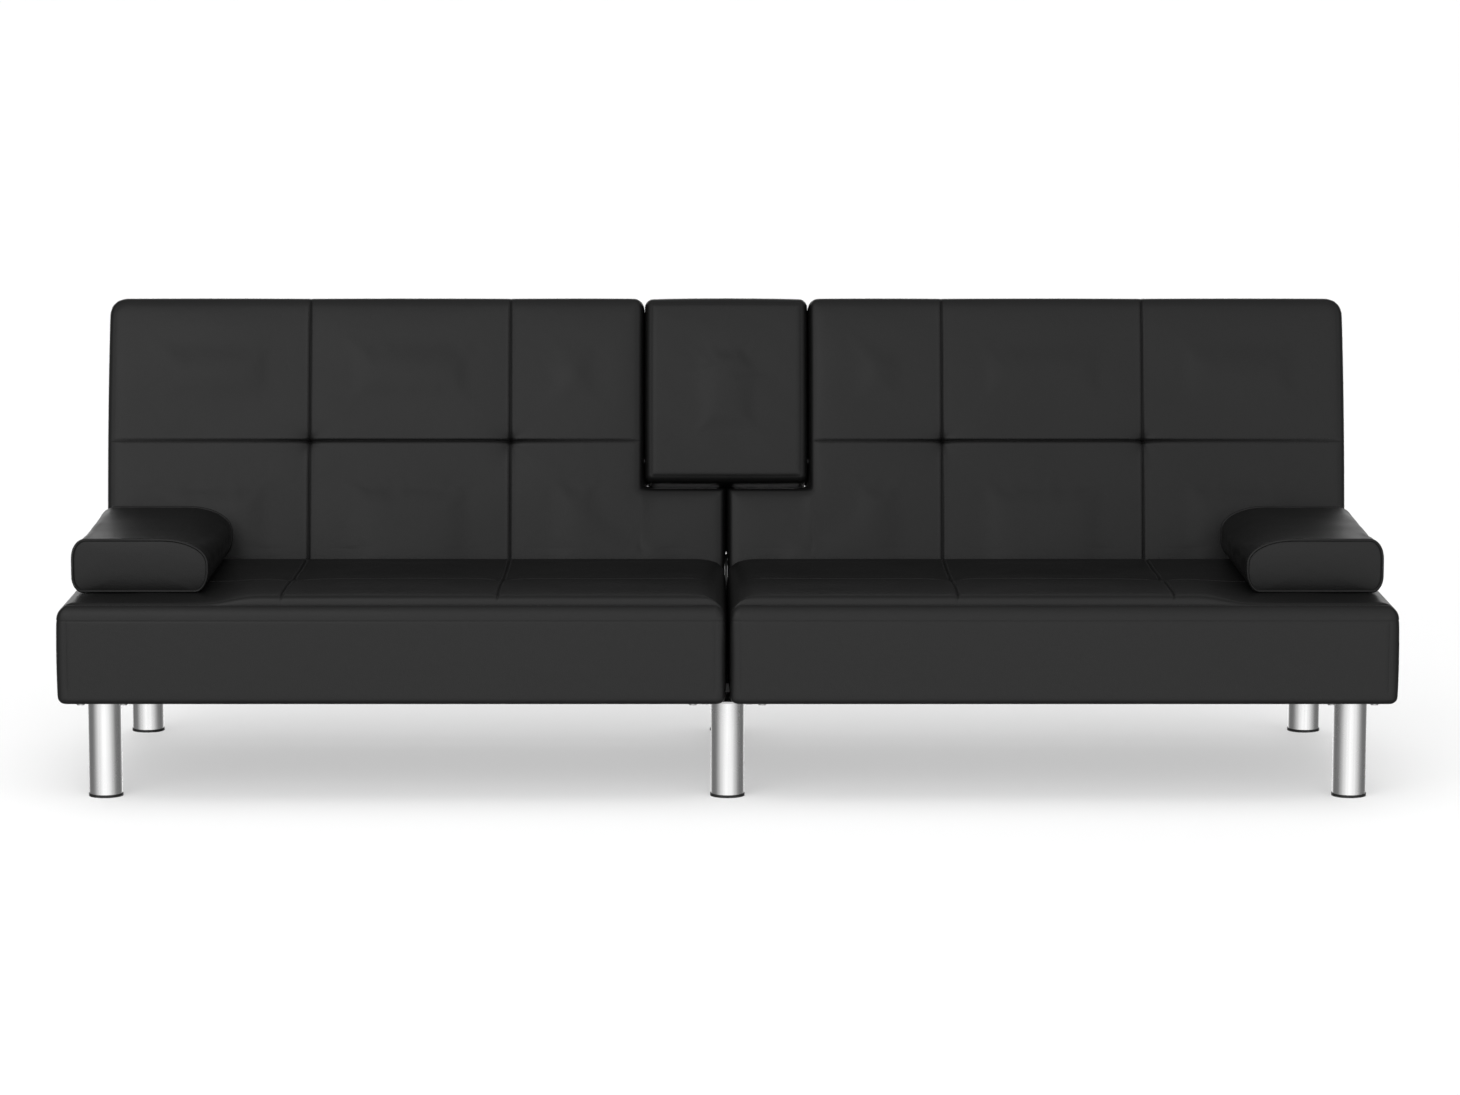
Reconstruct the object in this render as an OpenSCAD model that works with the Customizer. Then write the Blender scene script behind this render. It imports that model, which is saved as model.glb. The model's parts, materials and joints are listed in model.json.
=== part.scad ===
// Futon sofa bed: two upholstered seat halves on six tube legs, a two-part back that
// folds down to a bed on notched hinges, a fold-down console with two cup holders,
// and two loose oval bolsters. Millimetres, +Z up, front towards -Y, origin on the
// floor under the middle of the upright sofa.

/* [Overall] */
// Width across both seat halves
overall_w = 2000; // [1900:10:2100]
// Height of the upright back
overall_h = 700; // [690:5:730]

/* [Seat] */
// Depth of the seat box from front face to rear face
seat_depth = 515; // [500:5:540]
// Height of the seat surface
seat_top = 302; // [298:1:312]
// Height of the underside of the seat box
seat_bottom = 150; // [148:1:152]
// Gap between the left and right halves, in the seat and in the back
half_gap = 6; // [6:1:8]
// Rounding of the upper front and rear edges of the seat
seat_edge_r = 28; // [24:1:30]

/* [Back] */
// Width across both back halves
back_w = 1982; // [1978:1:1983]
// Thickness of the back
back_t = 110; // [106:1:112]
// Lean of the upright back from vertical, in degrees
recline = 14; // [12:1:16]
// Distance of the fold axis behind the front face of the back
pivot_inset = 60; // [58:1:62]
// Length of the back below the fold axis
back_tail = 77; // [76:1:79]
// Gap between the seat and the back when the back lies flat
swing_gap = 12; // [10:1:16]
// Rounding of the lower front edge of the back
tail_r = 38; // [36:1:40]
// Rounding of the other edges of the back
back_edge_r = 18; // [16:1:20]

/* [Console] */
// Width of the fold-down console
console_w = 259; // [255:1:261]
// Width of the notch in the back that holds the console
notch_w = 267; // [267:1:270]
// Height of the notch floor above the fold axis, along the back
notch_floor = 153; // [150:1:156]
// Gap under the console
console_gap = 9; // [8:1:11]
// Thickness of the console
console_t = 104; // [102:1:105]
// Radius of each cup holder
cup_r = 42; // [38:0.5:43]
// Depth of each cup holder
cup_depth = 55; // [45:1:58]

/* [Legs] */
// Diameter of a leg tube
leg_d = 50; // [46:1:52]
// Distance of the outer leg centres from the sides of the seat
leg_inset = 62.5; // [60:0.5:66]
// Distance of the front leg centres behind the front face
front_leg_y = 75; // [72:1:80]
// Distance of the rear leg centres behind the front face
rear_leg_y = 645; // [640:1:650]

/* [Bolsters] */
// Width of a bolster
bolster_w = 209; // [190:1:212]
// Thickness of a bolster
bolster_t = 82; // [70:1:90]
// Length of a bolster
bolster_len = 390; // [360:1:395]
// Distance of a bolster's front end behind the front face of the seat
bolster_y = 110; // [105:1:115]
// Distance of a bolster's middle from the middle of the sofa
bolster_x = 886; // [870:1:887]

/* [Hidden] */
$fn = 48;

// Shared stock sizes
skin = 3;             // leather cover with its backing
cut = 1;              // how far a cutting solid runs past the face it cuts
running = 0.05;       // radial clearance of a pin that turns in steel
seat_half_x = half_gap / 2;
seat_end_x = overall_w / 2;
back_end_x = back_w / 2;

// Seat box
seat_low_r = 8;
frame_inset = 16;     // from the outside of the box to its timber frame
rail_t = 25;
rail_top = 236;
strap_w = 50;
strap_t = 2;
cover_lip = 25;       // width of leather turned in under the box
dust_t = 1.5;
cross_rail_x = [342, 667];

// Upright back, worked out in a frame at the fold axis: y rearward, z up along it
back_top = (overall_h - (seat_top - pivot_inset) - (pivot_inset - back_edge_r) * sin(recline)
    - back_edge_r) / cos(recline) + back_edge_r;
pivot_z = seat_top - pivot_inset;
pivot_depth = seat_depth + swing_gap + back_tail;
overall_depth = pivot_depth + (back_top - back_edge_r) * sin(recline)
    + (back_t - pivot_inset - back_edge_r) * cos(recline) + back_edge_r;
front_y = -overall_depth / 2;
seat_rear_y = front_y + seat_depth;
pivot_y = front_y + pivot_depth;
back_front = -pivot_inset;
back_rear = back_t - pivot_inset;
notch_x = notch_w / 2;
notch_r = 12;
frame_front = -14;    // timber frame of the back, front and rear faces
frame_rear = 31;
stile_w = 45;
back_rail_h = 40;
frame_gap = 11;       // from the ends of the back to its frame, along z
plate_t = 4;          // hinge steel
outer_frame_x = back_end_x - skin - plate_t;
inner_frame_x = seat_half_x + skin + plate_t;
notch_frame_x = notch_x + skin + plate_t + 0.5;
rear_lip = 25;

// Hinges
pin_r = 6;
pin_head_r = 11;
disc_r = 52;
guide_r = 38;         // radius of the notched slot that the guide pin follows
guide_pin_r = 4;
slot_w = 9;
recline_travel = 90 - recline;
hinge_offset = 1.5;   // clearance between the cover and the outer hinge plate
outer_plate_x = back_end_x + hinge_offset;
arm_top = 130;

// Base rails under the back
base_h = 32;
base_w = 40;
centre_base_w = 100;
base_wall = 2;
base_z = seat_bottom - base_h;
base_y = [205, 702];
leg_x = overall_w / 2 - leg_inset;
leg_wall = 2;
cap_h = 4;
leg_plate = 90;
leg_plate_t = 3;
rear_plate = [60, 88];
rear_bolt_y = 34;
screw_r = 3;
bolt_r = 4;
rail_bolt_y = [230, 470];
centre_bolt_x = 34;
hinge_bolt_y = 62;

// Console, in the frame of the back
console_x = console_w / 2;
console_z = notch_floor + console_gap;
console_rear = back_front + console_t;
console_r = 16;
console_pivot = [back_front + 30, console_z + 36];
board_t = 12;
board_x = 118;
board_y = [-44, 28];
board_z = [console_z + 14, back_top - 13];
cup_x = 52;
cup_z = back_top - 71;
cup_wall = 2.5;
tray_x = 110;
tray_half_h = 62;
tray_t = 2.5;
tray_lip = 6;
bracket_y = [-44, 26];
bracket_z = [console_pivot[1] - 18, console_pivot[1] + 56];

// ---------- outlines and placing ----------

// A box outline from corner a to corner b, with radii for its low-front, low-rear,
// high-rear and high-front corners.
module round_outline(a, b, r) {
    union() {
        polygon([
            [a[0] + r[0], a[1]], [b[0] - r[1], a[1]],
            [b[0], a[1] + r[1]], [b[0], b[1] - r[2]],
            [b[0] - r[2], b[1]], [a[0] + r[3], b[1]],
            [a[0], b[1] - r[3]], [a[0], a[1] + r[0]],
        ]);
        if (r[0] > 0) translate([a[0] + r[0], a[1] + r[0]]) circle(r[0]);
        if (r[1] > 0) translate([b[0] - r[1], a[1] + r[1]]) circle(r[1]);
        if (r[2] > 0) translate([b[0] - r[2], b[1] - r[2]]) circle(r[2]);
        if (r[3] > 0) translate([a[0] + r[3], b[1] - r[3]]) circle(r[3]);
    }
}

// Extrudes an outline drawn in (y, z) from x0 to x1.
module along_x(x0, x1) {
    translate([x0, 0, 0]) rotate([90, 0, 90]) linear_extrude(x1 - x0) children();
}

// Extrudes an outline drawn in (x, z) from y0 to y1.
module along_y(y0, y1) {
    translate([0, y1, 0]) rotate([90, 0, 0]) linear_extrude(y1 - y0) children();
}

// A box between two opposite corners.
module span(a, b) {
    translate(a) cube(b - a);
}

// A round bar along X from x0 to x1 at (y, z).
module bar_x(x0, x1, r, y = 0, z = 0) {
    translate([x0, y, z]) rotate([0, 90, 0]) cylinder(r = r, h = x1 - x0);
}

// Right-hand shapes as drawn, left-hand shapes mirrored.
module handed(side) {
    mirror([side < 0 ? 1 : 0, 0, 0]) children();
}

module both_hands() {
    for (side = [-1, 1]) handed(side) children();
}

// Moves a shape from the frame of the back to its upright place.
module on_back() {
    translate([0, pivot_y, pivot_z]) rotate([-recline, 0, 0]) children();
}

// ---------- legs ----------

module leg(x, depth, top) {
    color([0.78, 0.78, 0.77]) translate([x, front_y + depth, 0]) difference() {
        translate([0, 0, cap_h]) cylinder(r = leg_d / 2, h = top - leg_plate_t - cap_h);
        translate([0, 0, cap_h - cut])
            cylinder(r = leg_d / 2 - leg_wall, h = top - leg_plate_t - cap_h + 2 * cut);
    }
}

// Screw places on a front leg plate, from the leg's centre
screw_step = 32;
centre_screw_x = 52;
centre_plate_w = 130;
outer_screws = [for (x = [-1, 1], y = [-1, 1]) [x * screw_step, y * screw_step, screw_r]];
centre_screws = [for (x = [-1, 1], y = [-1, 1]) [x * centre_screw_x, y * screw_step, screw_r]];
rear_bolts = [for (y = [-1, 1]) [0, y * rear_bolt_y, bolt_r]];

module leg_front_left() leg(-leg_x, front_leg_y, seat_bottom);
module leg_front_centre() leg(0, front_leg_y, seat_bottom);
module leg_front_right() leg(leg_x, front_leg_y, seat_bottom);
module leg_rear_left() leg(-leg_x, rear_leg_y, base_z);
module leg_rear_centre() leg(0, rear_leg_y, base_z);
module leg_rear_right() leg(leg_x, rear_leg_y, base_z);

// The plate on top of a leg, with its screw holes.
module leg_top_plate(x, depth, top, plate, screws) {
    translate([x, front_y + depth, top - leg_plate_t]) difference() {
        translate([-plate[0] / 2, -plate[1] / 2, 0]) cube([plate[0], plate[1], leg_plate_t]);
        for (p = screws) translate([p[0], p[1], -cut]) cylinder(r = p[2], h = leg_plate_t + 2 * cut);
    }
}

module leg_plates() {
    color([0.55, 0.55, 0.57]) {
        leg_top_plate(0, front_leg_y, seat_bottom, [centre_plate_w, leg_plate], centre_screws);
        for (x = [-leg_x, leg_x])
            leg_top_plate(x, front_leg_y, seat_bottom, [leg_plate, leg_plate], outer_screws);
        for (x = [-leg_x, 0, leg_x])
            leg_top_plate(x, rear_leg_y, base_z, rear_plate, rear_bolts);
    }
}

module foot_caps() {
    plug_h = 14;
    color([0.06, 0.06, 0.06])
        for (x = [-leg_x, 0, leg_x], depth = [front_leg_y, rear_leg_y])
            translate([x, front_y + depth, 0]) {
                cylinder(r = leg_d / 2 + 1, h = cap_h);
                cylinder(r = leg_d / 2 - leg_wall, h = cap_h + plug_h);
            }
}

// Screws that hold the front leg plates to the blocks of the seat frames
screw_len = 38;
module leg_screw_places() {
    for (x = [-leg_x, leg_x], p = outer_screws)
        translate([x + p[0], front_y + front_leg_y + p[1], 0]) children();
    for (p = centre_screws)
        translate([p[0], front_y + front_leg_y + p[1], 0]) children();
}

module leg_screw_shanks() {
    leg_screw_places() translate([0, 0, seat_bottom - leg_plate_t])
        cylinder(r = screw_r, h = screw_len, $fn = 24);
}

module leg_screws() {
    head_h = 3.5;
    color([0.55, 0.55, 0.57]) {
        leg_screw_shanks();
        leg_screw_places() translate([0, 0, seat_bottom - leg_plate_t - head_h])
            cylinder(r = 2 * screw_r, h = head_h, $fn = 24);
    }
}

module leg_bolts() {
    head_h = 5;
    nut_h = 6.5;
    color([0.5, 0.5, 0.52])
        for (x = [-leg_x, 0, leg_x], y = [-1, 1])
            translate([x, front_y + rear_leg_y + y * rear_bolt_y, 0]) {
                translate([0, 0, base_z - leg_plate_t - head_h])
                    cylinder(r = 6.5, h = head_h, $fn = 6);
                translate([0, 0, base_z - leg_plate_t - head_h])
                    cylinder(r = bolt_r, h = head_h + leg_plate_t + base_wall + nut_h + 2);
                translate([0, 0, base_z + base_wall]) cylinder(r = 7, h = nut_h, $fn = 6);
            }
}

// ---------- base rails that carry the hinges and rear legs ----------

module rail_bolt_shanks() {
    for (y = rail_bolt_y) {
        for (x = [-leg_x, leg_x]) translate([x, front_y + y, base_z])
            cylinder(r = bolt_r, h = base_h + skin + 30);
        for (x = [-centre_bolt_x, centre_bolt_x]) translate([x, front_y + y, base_z])
            cylinder(r = bolt_r, h = base_h + skin + 30);
    }
}

module hinge_bolt_shanks(h) {
    for (y = [-1, 1]) translate([0, pivot_y + y * hinge_bolt_y, seat_bottom - base_wall - 8]) {
        for (x = [-leg_x, leg_x]) translate([x, 0, 0]) cylinder(r = bolt_r, h = h);
        for (x = [-26, 26]) translate([x, 0, 0]) cylinder(r = bolt_r, h = h);
    }
}

module base_rail(x, w) {
    color([0.1, 0.1, 0.11]) difference() {
        span([x - w / 2, front_y + base_y[0], base_z], [x + w / 2, front_y + base_y[1], seat_bottom]);
        span([x - w / 2 + base_wall, front_y + base_y[0] - cut, base_z + base_wall],
            [x + w / 2 - base_wall, front_y + base_y[1] + cut, seat_bottom - base_wall]);
        rail_bolt_shanks();
        hinge_bolt_shanks(20);
        for (y = [-1, 1]) translate([x, front_y + rear_leg_y + y * rear_bolt_y, base_z - cut])
            cylinder(r = bolt_r, h = base_wall + 2 * cut);
    }
}

module base_rail_left() base_rail(-leg_x, base_w);
module base_rail_centre() base_rail(0, centre_base_w);
module base_rail_right() base_rail(leg_x, base_w);

module base_cross_rails() {
    cross = 25;
    wall = 1.5;
    cross_y = front_y + rear_leg_y - 80;
    cross_z = base_z + 3;
    color([0.1, 0.1, 0.11]) both_hands() difference() {
        span([centre_base_w / 2, cross_y, cross_z], [leg_x - base_w / 2, cross_y + cross, cross_z + cross]);
        span([centre_base_w / 2 - cut, cross_y + wall, cross_z + wall],
            [leg_x - base_w / 2 + cut, cross_y + cross - wall, cross_z + cross - wall]);
    }
}

module rail_end_plug(x, w, y, inward) {
    lip = 3;
    plug = 12;
    y_far = y + inward * plug;
    span([x - w / 2, min(y, y - inward * lip), base_z], [x + w / 2, max(y, y - inward * lip), seat_bottom]);
    span([x - w / 2 + base_wall, min(y, y_far), base_z + base_wall],
        [x + w / 2 - base_wall, max(y, y_far), seat_bottom - base_wall]);
}

module rail_end_plugs() {
    color([0.06, 0.06, 0.06]) for (rail = [[-leg_x, base_w], [0, centre_base_w], [leg_x, base_w]]) {
        rail_end_plug(rail[0], rail[1], front_y + base_y[0], 1);
        rail_end_plug(rail[0], rail[1], front_y + base_y[1], -1);
    }
}

module rail_bolts() {
    head_h = 5;
    color([0.5, 0.5, 0.52]) {
        rail_bolt_shanks();
        for (y = rail_bolt_y, x = [-leg_x, -centre_bolt_x, centre_bolt_x, leg_x])
            translate([x, front_y + y, base_z - head_h]) cylinder(r = 6.5, h = head_h, $fn = 6);
    }
}

// ---------- seat halves ----------

module seat_outline(inset) {
    top_r = seat_edge_r - inset;
    low_r = seat_low_r - inset;
    round_outline([front_y + inset, seat_bottom + inset], [seat_rear_y - inset, seat_top - inset],
        [low_r, low_r, top_r, top_r]);
}

// Bolts through the inner rails of both halves
join_bolt_y = [140, 300, 430];
join_bolt_z = 195;
module join_bolt_shanks() {
    for (y = join_bolt_y) bar_x(-seat_half_x - frame_inset - rail_t, seat_half_x + frame_inset + rail_t,
        bolt_r, front_y + y, join_bolt_z);
}

module seat_join_bolts() {
    head_h = 6;
    grip = seat_half_x + frame_inset + rail_t;
    color([0.5, 0.5, 0.52]) {
        join_bolt_shanks();
        for (y = join_bolt_y) {
            bar_x(-grip - head_h, -grip, 6.5, front_y + y, join_bolt_z, $fn = 6);
            bar_x(grip, grip + head_h, 6.5, front_y + y, join_bolt_z, $fn = 6);
        }
    }
}

module seat_frame(side) {
    x0 = seat_half_x + frame_inset;
    x1 = seat_end_x - frame_inset;
    y0 = front_y + frame_inset;
    y1 = seat_rear_y - frame_inset;
    z0 = seat_bottom + skin;
    block_h = 50;
    block_w = 64;
    block_y = front_y + front_leg_y + 50;
    color([0.80, 0.66, 0.45]) difference() {
        handed(side) union() {
            difference() {
                span([x0, y0, z0], [x1, y1, rail_top]);
                span([x0 + rail_t, y0 + rail_t, z0 - cut], [x1 - rail_t, y1 - rail_t, rail_top + cut]);
            }
            for (x = cross_rail_x)
                span([x - rail_t / 2, y0 + rail_t, z0], [x + rail_t / 2, y1 - rail_t, rail_top]);
            // leg blocks, then the blocks over the base rail
            span([x0 + rail_t, y0 + rail_t, z0], [x0 + rail_t + block_w, block_y, z0 + block_h]);
            span([x1 - rail_t - block_w, y0 + rail_t, z0], [x1 - rail_t, block_y, z0 + block_h]);
            for (y = rail_bolt_y)
                span([leg_x - 24, front_y + y - 25, z0], [x1 - rail_t, front_y + min(y + 25, 479), z0 + block_h]);
        }
        leg_screw_shanks();
        rail_bolt_shanks();
        join_bolt_shanks();
    }
}

module seat_frame_left() seat_frame(-1);
module seat_frame_right() seat_frame(1);

module seat_webbing(side) {
    x0 = seat_half_x + frame_inset;
    x1 = seat_end_x - frame_inset;
    y0 = front_y + frame_inset;
    y1 = seat_rear_y - frame_inset;
    across = 7;
    along = 3;
    color([0.25, 0.23, 0.2]) handed(side) {
        for (i = [0 : across - 1]) {
            x = x0 + (i + 0.5) * (x1 - x0) / across - strap_w / 2;
            span([x, y0, rail_top], [x + strap_w, y1, rail_top + strap_t]);
        }
        for (i = [0 : along - 1]) {
            y = y0 + (i + 0.5) * (y1 - y0) / along - strap_w / 2;
            span([x0, y, rail_top + strap_t], [x1, y + strap_w, rail_top + 2 * strap_t]);
        }
    }
}

module seat_webbing_left() seat_webbing(-1);
module seat_webbing_right() seat_webbing(1);

module seat_foam(side) {
    color([0.93, 0.90, 0.78]) difference() {
        handed(side) difference() {
            along_x(seat_half_x + skin, seat_end_x - skin) seat_outline(skin);
            span([seat_half_x + frame_inset, front_y + frame_inset, seat_bottom],
                [seat_end_x - frame_inset, seat_rear_y - frame_inset, rail_top + 2 * strap_t]);
        }
        join_bolt_shanks();
    }
}

module seat_foam_left() seat_foam(-1);
module seat_foam_right() seat_foam(1);

module seat_cover(side) {
    color([0.09, 0.09, 0.09]) difference() {
        handed(side) difference() {
            along_x(seat_half_x, seat_end_x) seat_outline(0);
            along_x(seat_half_x + skin, seat_end_x - skin) seat_outline(skin);
            span([seat_half_x + cover_lip, front_y + cover_lip, seat_bottom - cut],
                [seat_end_x - cover_lip, seat_rear_y - cover_lip, seat_bottom + skin + cut]);
        }
        join_bolt_shanks();
    }
}

module seat_cover_left() seat_cover(-1);
module seat_cover_right() seat_cover(1);

module dust_cover(side) {
    color([0.13, 0.13, 0.13]) difference() {
        handed(side)
            span([seat_half_x + cover_lip, front_y + cover_lip, seat_bottom],
                [seat_end_x - cover_lip, seat_rear_y - cover_lip, seat_bottom + dust_t]);
        leg_screw_shanks();
        rail_bolt_shanks();
    }
}

module dust_cover_left() dust_cover(-1);
module dust_cover_right() dust_cover(1);

// ---------- hinges ----------

module hinge_disc_outline() {
    foot_half = 46;
    difference() {
        union() {
            circle(disc_r);
            polygon([
                [-foot_half, seat_bottom - pivot_z], [foot_half, seat_bottom - pivot_z],
                [0.8 * disc_r, -0.3 * disc_r], [-0.8 * disc_r, -0.3 * disc_r],
            ]);
        }
        circle(pin_r + running);
        guide_arc();
    }
}

// The slot that a guide pin follows from sofa to bed, with a notch at each position.
module guide_arc() {
    notch_r = 6;
    notch_push = 1;
    notch_step = recline_travel / 2;
    intersection() {
        difference() {
            circle(guide_r + slot_w / 2);
            circle(guide_r - slot_w / 2);
        }
        polygon([[0, 0], [2 * disc_r, 0], [2 * disc_r, 2 * disc_r],
            [2 * disc_r * sin(recline), 2 * disc_r * cos(recline)]]);
    }
    for (a = [0, notch_step, recline_travel])
        rotate(a) translate([guide_r + notch_push, 0]) circle(notch_r);
}

module hinge_plate(side) {
    flange_half = 78;
    color([0.32, 0.33, 0.35]) difference() {
        if (side == 0)
            union() {
                translate([0, pivot_y, pivot_z]) along_x(-plate_t / 2, plate_t / 2) hinge_disc_outline();
                span([-44, pivot_y - flange_half, seat_bottom],
                    [44, pivot_y + flange_half, seat_bottom + plate_t]);
            }
        else
            handed(side) union() {
                translate([0, pivot_y, pivot_z])
                    along_x(outer_plate_x, outer_plate_x + plate_t) hinge_disc_outline();
                span([leg_x - base_w / 2, pivot_y - flange_half, seat_bottom],
                    [outer_plate_x + plate_t, pivot_y + flange_half, seat_bottom + plate_t]);
            }
        hinge_bolt_shanks(20);
    }
}

module hinge_plate_left() hinge_plate(-1);
module hinge_plate_centre() hinge_plate(0);
module hinge_plate_right() hinge_plate(1);

module hinge_bolts() {
    head_h = 5;
    z_top = seat_bottom + plate_t;
    color([0.5, 0.5, 0.52]) {
        hinge_bolt_shanks(base_wall + 8 + plate_t);
        for (x = [-leg_x, -26, 26, leg_x], y = [-1, 1])
            translate([x, pivot_y + y * hinge_bolt_y, z_top]) cylinder(r = 6.5, h = head_h, $fn = 6);
    }
}

// Screws that hold the arms, the join bar and the console brackets to the back frames
arm_screw_z = [60, 88, 116];
bar_z = [70, 98];
bar_half = 180;
bar_t = 4;
bar_screw_x = [24, 42, 156, 172];
wood_screw_r = 2.5;
wood_screw_len = 22;
bracket_screw_z = [224, 244];

module frame_screw_shanks() {
    both_hands() {
        for (z = arm_screw_z) {
            bar_x(outer_frame_x - wood_screw_len, outer_frame_x + plate_t - 0.2, wood_screw_r, 0, z, $fn = 24);
            bar_x(inner_frame_x - plate_t + 0.2, inner_frame_x + wood_screw_len, wood_screw_r, 0, z, $fn = 24);
        }
        for (x = bar_screw_x) translate([x, frame_rear + bar_t, (bar_z[0] + bar_z[1]) / 2])
            rotate([90, 0, 0]) cylinder(r = wood_screw_r, h = wood_screw_len + bar_t, $fn = 24);
        for (z = bracket_screw_z)
            bar_x(notch_frame_x - plate_t + 0.2, notch_frame_x + wood_screw_len, wood_screw_r, 10, z, $fn = 24);
    }
}

module frame_screws() {
    head_h = 2.5;
    color([0.55, 0.55, 0.57]) on_back() {
        frame_screw_shanks();
        both_hands() for (x = bar_screw_x)
            translate([x, frame_rear + bar_t + head_h, (bar_z[0] + bar_z[1]) / 2])
                rotate([90, 0, 0]) cylinder(r = 2 * wood_screw_r, h = head_h, $fn = 24);
    }
}

module hinge_arm(side, x0) {
    arm_r = 14;
    color([0.32, 0.33, 0.35]) on_back() difference() {
        handed(side) along_x(x0, x0 + plate_t) difference() {
            union() {
                circle(arm_r);
                translate([-arm_r, 0]) square([2 * arm_r, arm_top]);
            }
            circle(pin_r);
            translate([0, guide_r]) circle(guide_pin_r);
        }
        frame_screw_shanks();
    }
}

module hinge_arm_outer_left() hinge_arm(-1, outer_frame_x);
module hinge_arm_inner_left() hinge_arm(-1, inner_frame_x - plate_t);
module hinge_arm_inner_right() hinge_arm(1, inner_frame_x - plate_t);
module hinge_arm_outer_right() hinge_arm(1, outer_frame_x);

module pin_shanks(r, z) {
    both_hands() bar_x(outer_frame_x, outer_plate_x + plate_t + 0.5, r, 0, z);
    bar_x(-inner_frame_x, inner_frame_x, r, 0, z);
}

module pivot_pins() {
    head_gap = 0.5;
    head_t = 3;
    color([0.6, 0.6, 0.62]) on_back() {
        pin_shanks(pin_r, 0);
        both_hands()
            bar_x(outer_plate_x + plate_t + head_gap, outer_plate_x + plate_t + head_gap + head_t, pin_head_r);
    }
}

module guide_pins() {
    head_gap = 0.5;
    head_t = 2;
    color([0.6, 0.6, 0.62]) on_back() {
        pin_shanks(guide_pin_r, guide_r);
        both_hands() bar_x(outer_plate_x + plate_t + head_gap,
            outer_plate_x + plate_t + head_gap + head_t, guide_pin_r + 2.5, 0, guide_r);
    }
}

// ---------- back halves ----------

// One back half, shrunk by inset on every side, with the step for the console notch.
module back_block(inset) {
    low_r = tail_r - inset;
    edge_r = back_edge_r - inset;
    step_r = notch_r - inset;
    along_x(notch_x + inset, back_end_x - inset)
        round_outline([back_front + inset, -back_tail + inset], [back_rear - inset, back_top - inset],
            [low_r, edge_r, edge_r, edge_r]);
    along_x(seat_half_x + inset, notch_x + inset)
        round_outline([back_front + inset, -back_tail + inset], [back_rear - inset, notch_floor - inset],
            [low_r, edge_r, step_r, step_r]);
}

module rear_opening(y0, y1) {
    z0 = -back_tail + rear_lip;
    x1 = back_end_x - rear_lip;
    span([seat_half_x + rear_lip, y0, z0], [x1, y1, notch_floor - rear_lip]);
    span([notch_x + rear_lip, y0, z0], [x1, y1, back_top - rear_lip]);
}

module back_cover(side) {
    pin_hole_r = pin_r + 2;
    color([0.09, 0.09, 0.09]) on_back() difference() {
        handed(side) difference() {
            back_block(0);
            back_block(skin);
            rear_opening(back_rear - skin - cut, back_rear + cut);
            // holes for the console pin and the join bar
            bar_x(notch_x - cut, notch_x + skin + cut, pin_hole_r, console_pivot[0], console_pivot[1]);
            span([0, frame_rear - 1, bar_z[0] - 1], [seat_half_x + skin + cut, frame_rear + bar_t + 1, bar_z[1] + 1]);
        }
        pin_shanks(pin_hole_r, 0);
        pin_shanks(guide_pin_r + 1, guide_r);
    }
}

module back_cover_left() back_cover(-1);
module back_cover_right() back_cover(1);

module back_panel(side) {
    color([0.13, 0.13, 0.13]) on_back() handed(side) rear_opening(back_rear - skin, back_rear - skin + dust_t);
}

module back_panel_left() back_panel(-1);
module back_panel_right() back_panel(1);

module back_foam(side) {
    foam_rear = frame_front - strap_t;
    color([0.93, 0.90, 0.78]) on_back() handed(side) difference() {
        intersection() {
            back_block(skin);
            span([0, back_front, -back_tail], [back_end_x, foam_rear, back_top]);
        }
        span([notch_x, bracket_y[0] - cut, bracket_z[0] - cut],
            [notch_frame_x + cut, foam_rear + cut, bracket_z[1] + cut]);
    }
}

module back_foam_left() back_foam(-1);
module back_foam_right() back_foam(1);

module back_webbing(side) {
    // straps between the rails: one below the notch floor, three above it
    low = 50;
    high = [195, 275, 355];
    color([0.25, 0.23, 0.2]) on_back() handed(side) {
        span([inner_frame_x, frame_front - strap_t, low - strap_w / 2],
            [outer_frame_x, frame_front, low + strap_w / 2]);
        for (z = high)
            span([notch_frame_x + 6, frame_front - strap_t, z - strap_w / 2],
                [outer_frame_x, frame_front, z + strap_w / 2]);
    }
}

module back_webbing_left() back_webbing(-1);
module back_webbing_right() back_webbing(1);

module back_frame(side) {
    low = -back_tail + frame_gap;
    high = back_top - frame_gap;
    step = notch_floor - frame_gap;
    mid_x = 560;
    color([0.80, 0.66, 0.45]) on_back() difference() {
        handed(side) {
            span([inner_frame_x, frame_front, low], [outer_frame_x, frame_rear, low + back_rail_h]);
            span([notch_frame_x, frame_front, high - back_rail_h], [outer_frame_x, frame_rear, high]);
            span([outer_frame_x - stile_w, frame_front, low], [outer_frame_x, frame_rear, high]);
            span([notch_frame_x, frame_front, low], [notch_frame_x + stile_w, frame_rear, high]);
            span([inner_frame_x, frame_front, low], [inner_frame_x + stile_w, frame_rear, step]);
            span([inner_frame_x, frame_front, step - back_rail_h],
                [notch_frame_x + stile_w, frame_rear, step]);
            span([mid_x, frame_front, low], [mid_x + stile_w, frame_rear, high]);
        }
        frame_screw_shanks();
    }
}

module back_frame_left() back_frame(-1);
module back_frame_right() back_frame(1);

module back_join_bar() {
    color([0.32, 0.33, 0.35]) on_back() difference() {
        span([-bar_half, frame_rear, bar_z[0]], [bar_half, frame_rear + bar_t, bar_z[1]]);
        frame_screw_shanks();
    }
}

module console_brackets() {
    color([0.32, 0.33, 0.35]) on_back() difference() {
        both_hands() difference() {
            span([notch_frame_x - plate_t, bracket_y[0], bracket_z[0]],
                [notch_frame_x, bracket_y[1], bracket_z[1]]);
            bar_x(notch_frame_x - plate_t - cut, notch_frame_x + cut, pin_r + running,
                console_pivot[0], console_pivot[1]);
        }
        frame_screw_shanks();
    }
}

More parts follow.
